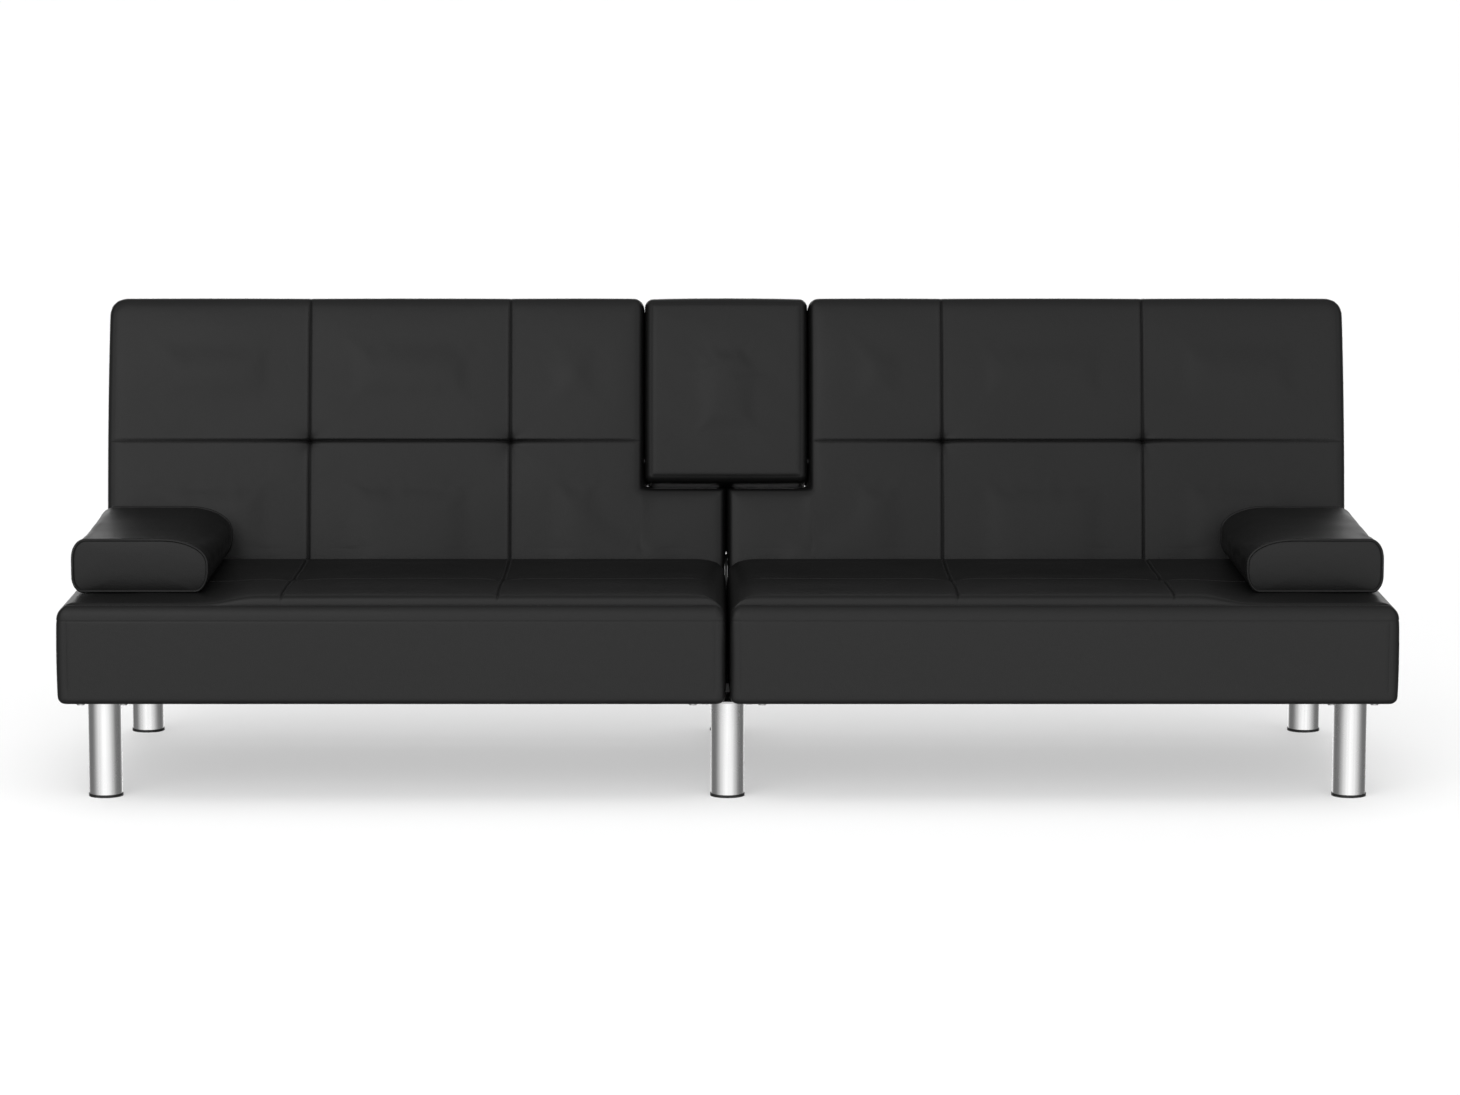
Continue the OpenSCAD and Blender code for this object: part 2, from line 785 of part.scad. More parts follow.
// ---------- console ----------

module console_block(inset) {
    along_x(-console_x + inset, console_x - inset)
        round_outline([back_front + inset, console_z + inset], [console_rear - inset, back_top - inset],
            [console_r - inset, console_r - inset, console_r - inset, back_edge_r - inset]);
}

module console_pin_shanks(r) {
    both_hands() bar_x(board_x - board_t, notch_frame_x - 0.5, r, console_pivot[0], console_pivot[1]);
}

module console_frame() {
    color([0.76, 0.62, 0.42]) on_back() difference() {
        span([-board_x, board_y[0], board_z[0]], [board_x, board_y[1], board_z[1]]);
        span([-board_x + board_t, board_y[0] - cut, board_z[0] + board_t],
            [board_x - board_t, board_y[1] + cut, board_z[1] - board_t]);
        console_pin_shanks(pin_r);
    }
}

module console_foam() {
    color([0.93, 0.90, 0.78]) on_back() difference() {
        console_block(skin);
        span([-board_x, board_y[0], board_z[0]], [board_x, board_y[1], board_z[1]]);
        tray_cut(board_y[1] - cut, console_rear);
        console_pin_shanks(pin_r + 1);
    }
}

// The opening in the cover and its padding that the cup tray drops into
module tray_cut(y0, y1) {
    span([-tray_x + tray_lip, y0, cup_z - tray_half_h + tray_lip],
        [tray_x - tray_lip, y1, cup_z + tray_half_h - tray_lip]);
}

module console_cover() {
    color([0.09, 0.09, 0.09]) on_back() difference() {
        console_block(0);
        console_block(skin);
        tray_cut(console_rear - skin - cut, console_rear + cut);
        console_pin_shanks(pin_r + 1);
    }
}

module cup_tray() {
    tray_rear = console_rear + tray_t;
    tray_corner = 10;
    color([0.05, 0.05, 0.05]) on_back() difference() {
        union() {
            along_y(console_rear, tray_rear)
                round_outline([-tray_x, cup_z - tray_half_h], [tray_x, cup_z + tray_half_h],
                    [tray_corner, tray_corner, tray_corner, tray_corner]);
            for (x = [-cup_x, cup_x]) translate([x, tray_rear, cup_z]) rotate([90, 0, 0])
                cylinder(r = cup_r + cup_wall, h = cup_depth + cup_wall);
        }
        for (x = [-cup_x, cup_x]) translate([x, tray_rear + cut, cup_z]) rotate([90, 0, 0])
            cylinder(r = cup_r, h = cup_depth + cut);
        tray_screw_shanks();
    }
}

module tray_screw_shanks() {
    for (x = [-1, 1], z = [-1, 1])
        translate([x * (tray_x - 3), console_rear + tray_t, cup_z + z * (tray_half_h - 3)])
            rotate([90, 0, 0]) cylinder(r = 1.5, h = tray_t, $fn = 24);
}

module tray_screws() {
    color([0.55, 0.55, 0.57]) on_back() tray_screw_shanks();
}

module console_pins() {
    color([0.6, 0.6, 0.62]) on_back() console_pin_shanks(pin_r);
}

// ---------- bolsters ----------

module bolster_outline(inset) {
    r = bolster_t / 2 - 2 - inset;
    lift = 0.5;
    round_outline([bolster_x - bolster_w / 2 + inset, seat_top + lift + inset],
        [bolster_x + bolster_w / 2 - inset, seat_top + lift + bolster_t - inset], [r, r, r, r]);
}

module bolster_cover(side) {
    y0 = front_y + bolster_y;
    color([0.09, 0.09, 0.09]) handed(side) difference() {
        along_y(y0, y0 + bolster_len) bolster_outline(0);
        along_y(y0 + skin, y0 + bolster_len - skin) bolster_outline(skin);
    }
}

module bolster_cover_left() bolster_cover(-1);
module bolster_cover_right() bolster_cover(1);

module bolster_core(side) {
    y0 = front_y + bolster_y;
    color([0.95, 0.94, 0.9]) handed(side)
        along_y(y0 + skin, y0 + bolster_len - skin) bolster_outline(skin);
}

module bolster_core_left() bolster_core(-1);
module bolster_core_right() bolster_core(1);

leg_front_left();
leg_front_centre();
leg_front_right();
leg_rear_left();
leg_rear_centre();
leg_rear_right();
foot_caps();
leg_plates();
leg_screws();
leg_bolts();
base_rail_left();
base_rail_centre();
base_rail_right();
base_cross_rails();
rail_end_plugs();
rail_bolts();
seat_frame_left();
seat_frame_right();
seat_webbing_left();
seat_webbing_right();
seat_foam_left();
seat_foam_right();
seat_cover_left();
seat_cover_right();
dust_cover_left();
dust_cover_right();
seat_join_bolts();
hinge_plate_left();
hinge_plate_centre();
hinge_plate_right();
hinge_bolts();
hinge_arm_outer_left();
hinge_arm_inner_left();
hinge_arm_inner_right();
hinge_arm_outer_right();
pivot_pins();
guide_pins();
frame_screws();
back_frame_left();
back_frame_right();
back_webbing_left();
back_webbing_right();
back_foam_left();
back_foam_right();
back_cover_left();
back_cover_right();
back_panel_left();
back_panel_right();
back_join_bar();
console_brackets();
console_frame();
console_foam();
console_cover();
cup_tray();
console_pins();
tray_screws();
bolster_core_left();
bolster_core_right();
bolster_cover_left();
bolster_cover_right();
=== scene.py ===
import json
import math

import bmesh
import bpy
import numpy as np
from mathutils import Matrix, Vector
from mathutils.bvhtree import BVHTree


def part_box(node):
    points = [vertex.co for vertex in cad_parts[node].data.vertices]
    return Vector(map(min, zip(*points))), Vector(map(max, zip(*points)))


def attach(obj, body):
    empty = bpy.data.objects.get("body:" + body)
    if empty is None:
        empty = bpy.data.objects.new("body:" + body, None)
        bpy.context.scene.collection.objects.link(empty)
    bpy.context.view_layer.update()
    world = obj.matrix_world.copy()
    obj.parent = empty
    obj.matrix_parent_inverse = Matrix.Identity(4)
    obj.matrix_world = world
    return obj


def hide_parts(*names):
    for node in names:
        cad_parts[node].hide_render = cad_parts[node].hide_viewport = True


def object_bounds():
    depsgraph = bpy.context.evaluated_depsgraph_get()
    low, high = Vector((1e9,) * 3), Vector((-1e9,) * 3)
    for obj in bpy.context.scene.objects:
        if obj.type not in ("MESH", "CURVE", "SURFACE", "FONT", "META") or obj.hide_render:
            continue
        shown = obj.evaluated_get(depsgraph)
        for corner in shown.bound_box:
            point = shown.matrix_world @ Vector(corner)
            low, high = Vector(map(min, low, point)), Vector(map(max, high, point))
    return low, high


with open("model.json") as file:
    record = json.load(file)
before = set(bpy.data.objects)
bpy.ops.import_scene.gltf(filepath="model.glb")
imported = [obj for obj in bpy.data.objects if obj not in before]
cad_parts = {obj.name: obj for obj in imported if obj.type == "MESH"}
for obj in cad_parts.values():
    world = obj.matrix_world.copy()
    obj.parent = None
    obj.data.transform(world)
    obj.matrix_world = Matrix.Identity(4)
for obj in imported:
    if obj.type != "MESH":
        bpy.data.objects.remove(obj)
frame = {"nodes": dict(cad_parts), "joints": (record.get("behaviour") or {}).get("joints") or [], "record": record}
cad_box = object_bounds()

# ---------- places read from the frame, in metres ----------

SIDES = {"left": -1, "right": 1}
JOINTS = {joint["name"]: joint for joint in frame["joints"]}
FOLD_AXIS = np.array(JOINTS["back_recline"]["pos_m"])
LEAN = math.radians(90 - JOINTS["back_recline"]["range_deg"][1])
COS_LEAN, SIN_LEAN = math.cos(LEAN), math.sin(LEAN)


def from_back(points):
    """Moves points from the back's own frame (y rearward, z up along it) to the row frame."""
    x, y, z = points.T
    turned = np.stack([x, y * COS_LEAN + z * SIN_LEAN, z * COS_LEAN - y * SIN_LEAN], axis=1)
    return turned + FOLD_AXIS


def back_box(node):
    """Lowest and highest corner of a CAD node in the back's own frame."""
    points = np.array([v.co for v in frame["nodes"][node].data.vertices]) - FOLD_AXIS
    x, y, z = points.T
    turned = np.stack([x, y * COS_LEAN - z * SIN_LEAN, z * COS_LEAN + y * SIN_LEAN], axis=1)
    return turned.min(axis=0), turned.max(axis=0)


def row_box(node):
    low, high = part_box(node)
    return np.array(low), np.array(high)


# ---------- shapes along an edge or a seam ----------

MM = 0.001
SEAM_STEPS = [0, 0.8 * MM, 1.7 * MM, 3 * MM, 4.6 * MM, 6.5 * MM, 9 * MM, 13 * MM, 20 * MM]
MERGE = 0.6 * MM
ROUND_STEPS = 6
RIDGE_POWER = 8      # how sharply two rounded edges meet at a corner
FAR = 10.0


def quarter_steps(radius):
    """Distances from an edge that sample a quarter round at even angles."""
    angles = [math.pi / 2 * i / ROUND_STEPS for i in range(ROUND_STEPS + 1)]
    return [radius * (1 - math.cos(angle)) for angle in angles]


def quarter_drop(distance, width, height):
    """How far a surface falls towards an edge with an elliptical quarter round."""
    inward = 1 - np.clip(distance / width, 0, 1)
    return height * (1 - np.sqrt(1 - inward ** 2))


def joined_drop(drops, limit):
    total = sum(drop ** RIDGE_POWER for drop in drops) ** (1 / RIDGE_POWER)
    return np.minimum(total, limit)


def even_drop(distances, radius):
    """How far a surface falls where all its edges have the same round."""
    return joined_drop([quarter_drop(d, radius, radius) for d in distances], radius)


def groove(distance, depth, width):
    return depth * np.exp(-np.abs(distance) / width)


def sewn_seam(distance, depth):
    """A tight seam: a narrow valley with a small ridge of gathered leather along each side."""
    valley = groove(distance, depth, 1.0 * MM) + groove(distance, 0.22 * depth, 6 * MM)
    ridge = 0.2 * depth * np.exp(-((np.abs(distance) - 4.6 * MM) / (1.5 * MM)) ** 2)
    return valley - ridge


def hump(value, low, high, power):
    """A crown that is 0 at low and high and 1 half-way between them."""
    share = np.clip((value - low) / (high - low), 0, 1)
    return (4 * share * (1 - share)) ** power


def panels(value, edges, power):
    """One crown for each panel between neighbouring edges."""
    return sum(hump(value, low, high, power) for low, high in zip(edges[:-1], edges[1:]))


def waves(u, v, seed, longest, count=9):
    """Smooth uneven waves between about -1 and 1, the same on every run."""
    rng = np.random.default_rng(seed)
    total = np.zeros_like(u)
    for _ in range(count):
        angle, phase = rng.uniform(0, 2 * math.pi, 2)
        length = longest * rng.uniform(0.35, 1)
        total += np.sin(2 * math.pi * (u * math.cos(angle) + v * math.sin(angle)) / length + phase)
    return total / math.sqrt(count)


def smooth_step(value, low, high):
    share = np.clip((value - low) / (high - low), 0, 1)
    return share * share * (3 - 2 * share)


# ---------- grids ----------


def grid_lines(low, high, radius_low, radius_high, seams, keys, step):
    """Grid lines from low to high, closer together at round edges and at seams."""
    firm = sorted({low, high, *seams, *keys})
    loose = [low + d for d in quarter_steps(radius_low)] + [high - d for d in quarter_steps(radius_high)]
    loose += [seam + side * d for seam in seams for d in SEAM_STEPS for side in (-1, 1)]
    kept = list(firm)
    for mark in sorted(loose):
        if low < mark < high and min(abs(mark - k) for k in kept) > MERGE:
            kept.append(mark)
    kept.sort()
    lines = [kept[0]]
    for mark in kept[1:]:
        count = math.ceil((mark - lines[-1]) / step)
        start = lines[-1]
        lines += [start + (mark - start) * i / count for i in range(1, count + 1)]
    return np.array(lines)


def both(place, half):
    """The two lines at half a width to either side of a place."""
    return [place - half, place + half]


def four_corners(low_u, high_u, low_v, high_v, radius):
    """The corners of an oblong plan, as round_corners takes them."""
    return [(low_u if su > 0 else high_u, low_v if sv > 0 else high_v, su, sv, radius)
        for su in (-1, 1) for sv in (-1, 1)]


def round_corners(u, v, corners):
    """Bends the square plan corners into quarter circles. A corner is (u, v, inward u, inward v, radius)."""
    u, v = u.copy(), v.copy()
    for corner_u, corner_v, sign_u, sign_v, radius in corners:
        a = radius - sign_u * (u - corner_u)
        b = radius - sign_v * (v - corner_v)
        inside = (a > 0) & (b > 0) & (a <= radius + MM) & (b <= radius + MM)
        scale = np.where(inside, np.maximum(a, b) / np.maximum(np.hypot(a, b), 1e-9), 1)
        u = np.where(inside, corner_u + sign_u * (radius - a * scale), u)
        v = np.where(inside, corner_v + sign_v * (radius - b * scale), v)
    return u, v


def padded_block(us, vs, inside, front, rear, levels, corners, edge_push, wall_push):
    """A closed block over a plan grid, as (points (u, v, w), faces).

    inside(u, v) says which plan cells it has; front and rear give w over the plan; levels are the
    shares of the way to the rear at which its walls have rows; edge_push(u, v) swells the plan, and
    wall_push(share, u, v) swells the walls outward."""
    grid_u, grid_v = np.meshgrid(us, vs, indexing="ij")
    mid_u, mid_v = np.meshgrid((us[1:] + us[:-1]) / 2, (vs[1:] + vs[:-1]) / 2, indexing="ij")
    cells = inside(mid_u, mid_v)
    used = np.zeros(grid_u.shape, bool)
    for di in (0, 1):
        for dj in (0, 1):
            used[di:grid_u.shape[0] - 1 + di, dj:grid_u.shape[1] - 1 + dj] |= cells
    number = np.full(grid_u.shape, -1)
    number[used] = np.arange(used.sum())
    plan_u, plan_v = round_corners(grid_u, grid_v, corners)
    push_u, push_v = edge_push(grid_u, grid_v)
    plan_u, plan_v = plan_u + push_u, plan_v + push_v
    front_w, rear_w = front(grid_u, grid_v), rear(grid_u, grid_v)
    half = int(used.sum())
    points = [np.stack([plan_u[used], plan_v[used], w[used]], axis=1) for w in (front_w, rear_w)]
    faces, rim = [], {}
    for i, j in zip(*np.nonzero(cells)):
        corner = [number[i, j], number[i + 1, j], number[i + 1, j + 1], number[i, j + 1]]
        faces.append(tuple(corner))
        faces.append(tuple(half + k for k in reversed(corner)))
        around = [(i, j - 1), (i + 1, j), (i, j + 1), (i - 1, j)]
        for k, (ni, nj) in enumerate(around):
            outside = not (0 <= ni < cells.shape[0] and 0 <= nj < cells.shape[1] and cells[ni, nj])
            if outside:
                rim[corner[k]] = corner[(k + 1) % 4]
    front_points, rear_points = points
    before = {b: a for a, b in rim.items()}
    rows = {}
    added = []
    for a, b in rim.items():
        along = front_points[b][:2] - front_points[before[a]][:2]
        outward = np.array([along[1], -along[0]]) / max(np.hypot(*along), 1e-9)
        row = [a]
        for share in levels:
            point = front_points[a] * (1 - share) + rear_points[a] * share
            point[:2] += outward * wall_push(share, *front_points[a][:2])
            row.append(2 * half + len(added))
            added.append(point)
        rows[a] = row + [half + a]
    for a, b in rim.items():
        for k in range(len(rows[a]) - 1):
            faces.append((rows[a][k], rows[a][k + 1], rows[b][k + 1], rows[b][k]))
    return np.concatenate([*points, np.array(added)]), faces


def make_piece(name, points, faces, material, levels=1):
    """A mesh piece in the row frame with its faces turned outward."""
    mesh = bpy.data.meshes.new(name)
    mesh.from_pydata([tuple(p) for p in points], [], [tuple(int(k) for k in f) for f in faces])
    made = bmesh.new()
    made.from_mesh(mesh)
    bmesh.ops.recalc_face_normals(made, faces=made.faces)
    made.to_mesh(mesh)
    made.free()
    mesh.polygons.foreach_set("use_smooth", [True] * len(mesh.polygons))
    piece = bpy.data.objects.new(name, mesh)
    bpy.context.scene.collection.objects.link(piece)
    mesh.materials.append(material)
    if levels:
        piece.modifiers.new("round", "SUBSURF").levels = levels
        piece.modifiers["round"].render_levels = levels
    return piece


# ---------- padding, blown up by cloth simulation ----------

SIM_FRAMES = 20
SIM_CAP = 3.5 * MM                   # the farthest that leather may move
FREE_FROM_SEAM = (2 * MM, 120 * MM)  # distances at which leather starts to move, and moves freely
CLOTH = {
    "vertex_group_mass": "sewn",
    "quality": 6,
    "mass": 0.4,
    "tension_stiffness": 20,
    "compression_stiffness": 20,
    "shear_stiffness": 8,
    "bending_stiffness": 0.8,
    "shrink_min": -0.004,            # the leather is cut slightly large
    "use_pressure": True,
    "uniform_pressure_force": 4,
}
waiting = []


def blow_up(piece, freedom):
    """Queues a pad for the simulation. freedom is 1 where its leather may move and 0 where it is sewn."""
    waiting.append((piece, np.asarray(freedom, float)))


def cloth_copy(piece, freedom):
    """A copy of a pad's cage as cloth, pinned at its seams and with pressure inside."""
    cage = bpy.data.objects.new(piece.name + "_cloth", piece.data.copy())
    bpy.context.scene.collection.objects.link(cage)
    sewn = cage.vertex_groups.new(name="sewn")
    for index, free in enumerate(freedom):
        sewn.add([index], 1 - free, "REPLACE")
    cloth = cage.modifiers.new("cloth", "CLOTH")
    cloth.point_cache.frame_start = 1
    cloth.point_cache.frame_end = SIM_FRAMES
    for key, value in CLOTH.items():
        setattr(cloth.settings, key, value)
    cloth.settings.effector_weights.gravity = 0
    cloth.collision_settings.use_collision = False
    cloth.collision_settings.use_self_collision = False
    return cage


def cage_points(mesh):
    flat = np.empty(len(mesh.vertices) * 3)
    mesh.vertices.foreach_get("co", flat)
    return flat.reshape(-1, 3)


def simulate():
    """Runs all the queued pads together and moves each cage to where its cloth came to rest."""
    cages = [cloth_copy(piece, freedom) for piece, freedom in waiting]
    for step in range(1, SIM_FRAMES + 1):
        bpy.context.scene.frame_set(step)
    graph = bpy.context.evaluated_depsgraph_get()
    for (piece, freedom), cage in zip(waiting, cages):
        start = cage_points(piece.data)
        moved = cage_points(cage.evaluated_get(graph).data) - start
        far = np.maximum(np.linalg.norm(moved, axis=1), 1e-9)
        moved *= (freedom * SIM_CAP * np.tanh(far / SIM_CAP) / far)[:, None]
        piece.data.vertices.foreach_set("co", (start + moved).ravel())
        piece.data.update()
    for cage in cages:
        bpy.data.meshes.remove(cage.data)
    bpy.context.scene.frame_set(1)


# ---------- materials ----------


class Paint:
    """A node material with short calls for the nodes that the surfaces share."""

    def __init__(self, name):
        self.material = bpy.data.materials.new(name)
        self.material.use_nodes = True
        self.nodes = self.material.node_tree.nodes
        self.links = self.material.node_tree.links
        self.shader = self.nodes["Principled BSDF"]
        self.coords = self.nodes.new("ShaderNodeTexCoord").outputs["Object"]

    def stretched(self, scale):
        node = self.nodes.new("ShaderNodeMapping")
        node.inputs["Scale"].default_value = scale
        self.links.new(self.coords, node.inputs["Vector"])
        return node.outputs["Vector"]

    def noise(self, scale, detail=3.0, distortion=0.0, stretch=None):
        node = self.nodes.new("ShaderNodeTexNoise")
        node.inputs["Scale"].default_value = scale
        node.inputs["Detail"].default_value = detail
        node.inputs["Distortion"].default_value = distortion
        self.links.new(self.stretched(stretch) if stretch else self.coords, node.inputs["Vector"])
        return node.outputs["Fac"]

    def cells(self, scale, feature="F1"):
        node = self.nodes.new("ShaderNodeTexVoronoi")
        node.feature = feature
        node.inputs["Scale"].default_value = scale
        self.links.new(self.coords, node.inputs["Vector"])
        return node.outputs["Distance"]

    def bands(self, scale, distortion, direction="X", stretch=None):
        node = self.nodes.new("ShaderNodeTexWave")
        node.bands_direction = direction
        node.inputs["Scale"].default_value = scale
        node.inputs["Distortion"].default_value = distortion
        self.links.new(self.stretched(stretch) if stretch else self.coords, node.inputs["Vector"])
        return node.outputs["Fac"]

    def ramp(self, value, low, high, start=0.3, end=0.7):
        node = self.nodes.new("ShaderNodeValToRGB")
        node.color_ramp.elements[0].position = start
        node.color_ramp.elements[1].position = end
        node.color_ramp.elements[0].color = (*low, 1)
        node.color_ramp.elements[1].color = (*high, 1)
        self.links.new(value, node.inputs["Fac"])
        return node.outputs["Color"]

    def spread(self, value, low, high, start=0.3, end=0.7):
        node = self.nodes.new("ShaderNodeMapRange")
        node.inputs["From Min"].default_value = start
        node.inputs["From Max"].default_value = end
        node.inputs["To Min"].default_value = low
        node.inputs["To Max"].default_value = high
        self.links.new(value, node.inputs["Value"])
        return node.outputs["Result"]

    def bump(self, heights):
        """Stacks bumps; each is (height, depth in metres)."""
        last = None
        for height, depth in heights:
            node = self.nodes.new("ShaderNodeBump")
            node.inputs["Strength"].default_value = 1.0
            node.inputs["Distance"].default_value = depth
            self.links.new(height, node.inputs["Height"])
            if last:
                self.links.new(last, node.inputs["Normal"])
            last = node.outputs["Normal"]
        self.links.new(last, self.shader.inputs["Normal"])

    def colour(self, socket):
        self.links.new(socket, self.shader.inputs["Base Color"])

    def rough(self, socket):
        self.links.new(socket, self.shader.inputs["Roughness"])

    def fixed(self, **values):
        for name, value in values.items():
            self.shader.inputs[name.replace("_", " ")].default_value = value


def grey(value):
    return (value, value, value)


def leather():
    paint = Paint("black_leather")
    grain = paint.cells(820)
    pores = paint.noise(2600, 2)
    folds = paint.noise(34, 4, 0.8)
    patches = paint.noise(4.5, 5)
    paint.colour(paint.ramp(patches, grey(0.0075), grey(0.0100)))
    paint.rough(paint.spread(patches, 0.40, 0.47))
    paint.bump([(folds, 0.35 * MM), (grain, 0.10 * MM), (pores, 0.03 * MM)])
    paint.fixed(Specular_IOR_Level=0.36)
    return paint.material


def thread():
    paint = Paint("black_thread")
    twist = paint.bands(900, 2, "DIAGONAL")
    paint.colour(paint.ramp(twist, grey(0.012), grey(0.035)))
    paint.rough(paint.spread(twist, 0.55, 0.75))
    paint.bump([(twist, 0.1 * MM)])
    return paint.material


def brushed_steel(name, tone, rough, stretch):
    paint = Paint(name)
    streaks = paint.noise(1.0, 4, 0, stretch)
    marks = paint.noise(14, 4)
    paint.colour(paint.ramp(streaks, grey(tone * 0.9), grey(tone)))
    paint.rough(paint.spread(marks, rough, rough + 0.08))
    paint.bump([(streaks, 0.03 * MM)])
    paint.fixed(Metallic=1.0)
    return paint.material


def moulded_plastic(name, rough, grain):
    paint = Paint(name)
    texture = paint.noise(grain, 3)
    patches = paint.noise(18, 3)
    paint.colour(paint.ramp(patches, grey(0.010), grey(0.016)))
    paint.rough(paint.spread(patches, rough, rough + 0.1))
    paint.bump([(texture, 0.08 * MM)])
    return paint.material


def powder_coat(name, low, high):
    paint = Paint(name)
    peel = paint.noise(420, 2)
    patches = paint.noise(9, 4)
    paint.colour(paint.ramp(patches, grey(low), grey(high)))
    paint.rough(paint.spread(patches, 0.38, 0.5))
    paint.bump([(peel, 0.06 * MM)])
    return paint.material


def timber(name, low, high, stretch):
    paint = Paint(name)
    rings = paint.bands(5, 5, "Y", stretch)
    fibres = paint.noise(30, 4, 0, stretch)
    paint.colour(paint.ramp(rings, low, high, 0.1, 0.9))
    paint.rough(paint.spread(fibres, 0.6, 0.8))
    paint.bump([(fibres, 0.2 * MM)])
    return paint.material


def woven(name, low, high, pitch):
    paint = Paint(name)
    warp = paint.bands(pitch, 0.4, "X")
    weft = paint.bands(pitch, 0.4, "Y")
    fuzz = paint.noise(pitch * 6, 3)
    paint.colour(paint.ramp(fuzz, low, high))
    paint.rough(paint.spread(fuzz, 0.8, 0.95))
    paint.bump([(warp, 0.3 * MM), (weft, 0.3 * MM)])
    paint.fixed(Sheen_Weight=0.15)
    return paint.material


def spun_cloth():
    paint = Paint("dust_cloth")
    dimples = paint.cells(620, "SMOOTH_F1")
    fibres = paint.noise(900, 3, 1.5)
    paint.colour(paint.ramp(fibres, grey(0.009), grey(0.022)))
    paint.rough(paint.spread(fibres, 0.8, 0.95))
    paint.bump([(dimples, 0.15 * MM), (fibres, 0.05 * MM)])
    paint.fixed(Sheen_Weight=0.1)
    return paint.material


def soft_foam(name, low, high):
    paint = Paint(name)
    bubbles = paint.cells(900)
    patches = paint.noise(12, 3)
    paint.colour(paint.ramp(patches, low, high))
    paint.rough(paint.spread(patches, 0.85, 0.95))
    paint.bump([(bubbles, 0.4 * MM)])
    return paint.material


LEATHER = leather()
THREAD = thread()
DUST = spun_cloth()
FINISHES = {
    "leg_steel": brushed_steel("leg_steel", 0.95, 0.22, (260, 260, 4)),
    "black_plastic": moulded_plastic("black_plastic", 0.5, 1300),
    "tray_plastic": moulded_plastic("tray_plastic", 0.28, 500),
    "zinc": brushed_steel("zinc", 0.62, 0.34, (90, 90, 90)),
    "black_steel": powder_coat("black_steel", 0.010, 0.016),
    "hinge_steel": powder_coat("hinge_steel", 0.014, 0.022),
    "pine": timber("pine", (0.50, 0.30, 0.13), (0.70, 0.48, 0.25), (1, 12, 12)),
    "plywood": timber("plywood", (0.42, 0.27, 0.13), (0.62, 0.43, 0.24), (1, 4, 60)),
    "webbing": woven("webbing", (0.03, 0.026, 0.02), (0.08, 0.07, 0.055), 300),
    "foam": soft_foam("foam", (0.62, 0.55, 0.32), (0.75, 0.68, 0.44)),
    "wadding": soft_foam("wadding", grey(0.72), grey(0.82)),
    "dust_cloth": DUST,
    "leather": LEATHER,
}


def paint_cad_nodes():
    """Gives every carried-over CAD node the material of its slot, and the pins a dark finish."""
    slots = {part["node"]: part["material_slot"] for part in frame["record"]["subparts"]}
    for name, node in frame["nodes"].items():
        node.data.materials.clear()
        node.data.materials.append(FINISHES["hinge_steel" if "pin" in name else slots[name]])


# ---------- the back ----------

BACK_LOW, BACK_HIGH = back_box("back_cover_right")
CONSOLE_LOW, CONSOLE_HIGH = back_box("console_cover")
BACK_FRONT = -BACK_LOW[1]            # w of the front face; w runs forward in the back's frame
BACK_REAR = -BACK_HIGH[1]
NOTCH_U = CONSOLE_HIGH[0] + 4 * MM
NOTCH_V = CONSOLE_LOW[2] - 9 * MM
BACK_ROUND = 13 * MM
TAIL_ROUND = 38 * MM
NOTCH_ROUND = 13 * MM
REAR_ROUND = 12 * MM
TOP_CORNER = 26 * MM
BOX_SEAM = 9.5 * MM                  # distance of the boxing seam from the edge of a face
BACK_SEAMS = [0.346, 0.6675]         # vertical seams, from the middle of the sofa
BACK_MID = 0.228                     # height of the horizontal seam along the back
BACK_TUFTS = [(seam, BACK_MID) for seam in BACK_SEAMS]
LIP = 25 * MM                        # leather turned in around a cloth panel
LIP_STEP = 1.5 * MM                  # half the width of the step from the lip to the panel
PANEL_SINK = 4 * MM
TUFT_DEPTH = 11 * MM
TUFT_REACH = 15 * MM
TUFT_FOLDS = 7
GRID_STEP = 13 * MM


def back_distances(u, v):
    """Distances from a plan point of a back half to its edges: outer, top, inner, tail and notch corner."""
    outer = BACK_HIGH[0] - u
    top = np.where(u < NOTCH_U, NOTCH_V - v, BACK_HIGH[2] - v)
    inner = np.where(v > NOTCH_V, u - NOTCH_U, u - BACK_LOW[0])
    tail = v - BACK_LOW[2]
    corner = np.where((u >= NOTCH_U) & (v <= NOTCH_V), np.hypot(u - NOTCH_U, NOTCH_V - v), FAR)
    return outer, top, inner, tail, corner


def mid_seam_depth(u):
    """The horizontal seam is pulled in hardest between the tufts and near each tuft."""
    between = hump(u, BACK_SEAMS[0], BACK_SEAMS[1], 1.0)
    near = sum(np.exp(-np.abs(u - seam) / (55 * MM)) for seam in BACK_SEAMS)
    return (1.3 + 1.2 * between + 2.6 * near) * MM


def tufts(u, v, centres):
    """Buttonless tufts: a sharp dimple at each seam crossing, with small folds fanning out of it."""
    total = np.zeros_like(u)
    for cu, cv in centres:
        across, up = u - cu, v - cv
        radius = np.hypot(across, up)
        angle = np.arctan2(up, across)
        sharp, wide = (np.exp(-radius / (share * TUFT_REACH)) for share in (0.45, 1.5))
        total += TUFT_DEPTH * (0.72 * sharp + 0.28 * wide)
        total += 0.05 * (np.cos(TUFT_FOLDS * angle + 1.3) * radius * np.exp(-radius / TUFT_REACH))
    return total


def soft_top(top):
    """The padding thins out towards the top edge."""
    return 5 * MM * np.exp(-np.clip(top, 0, FAR) / (30 * MM))


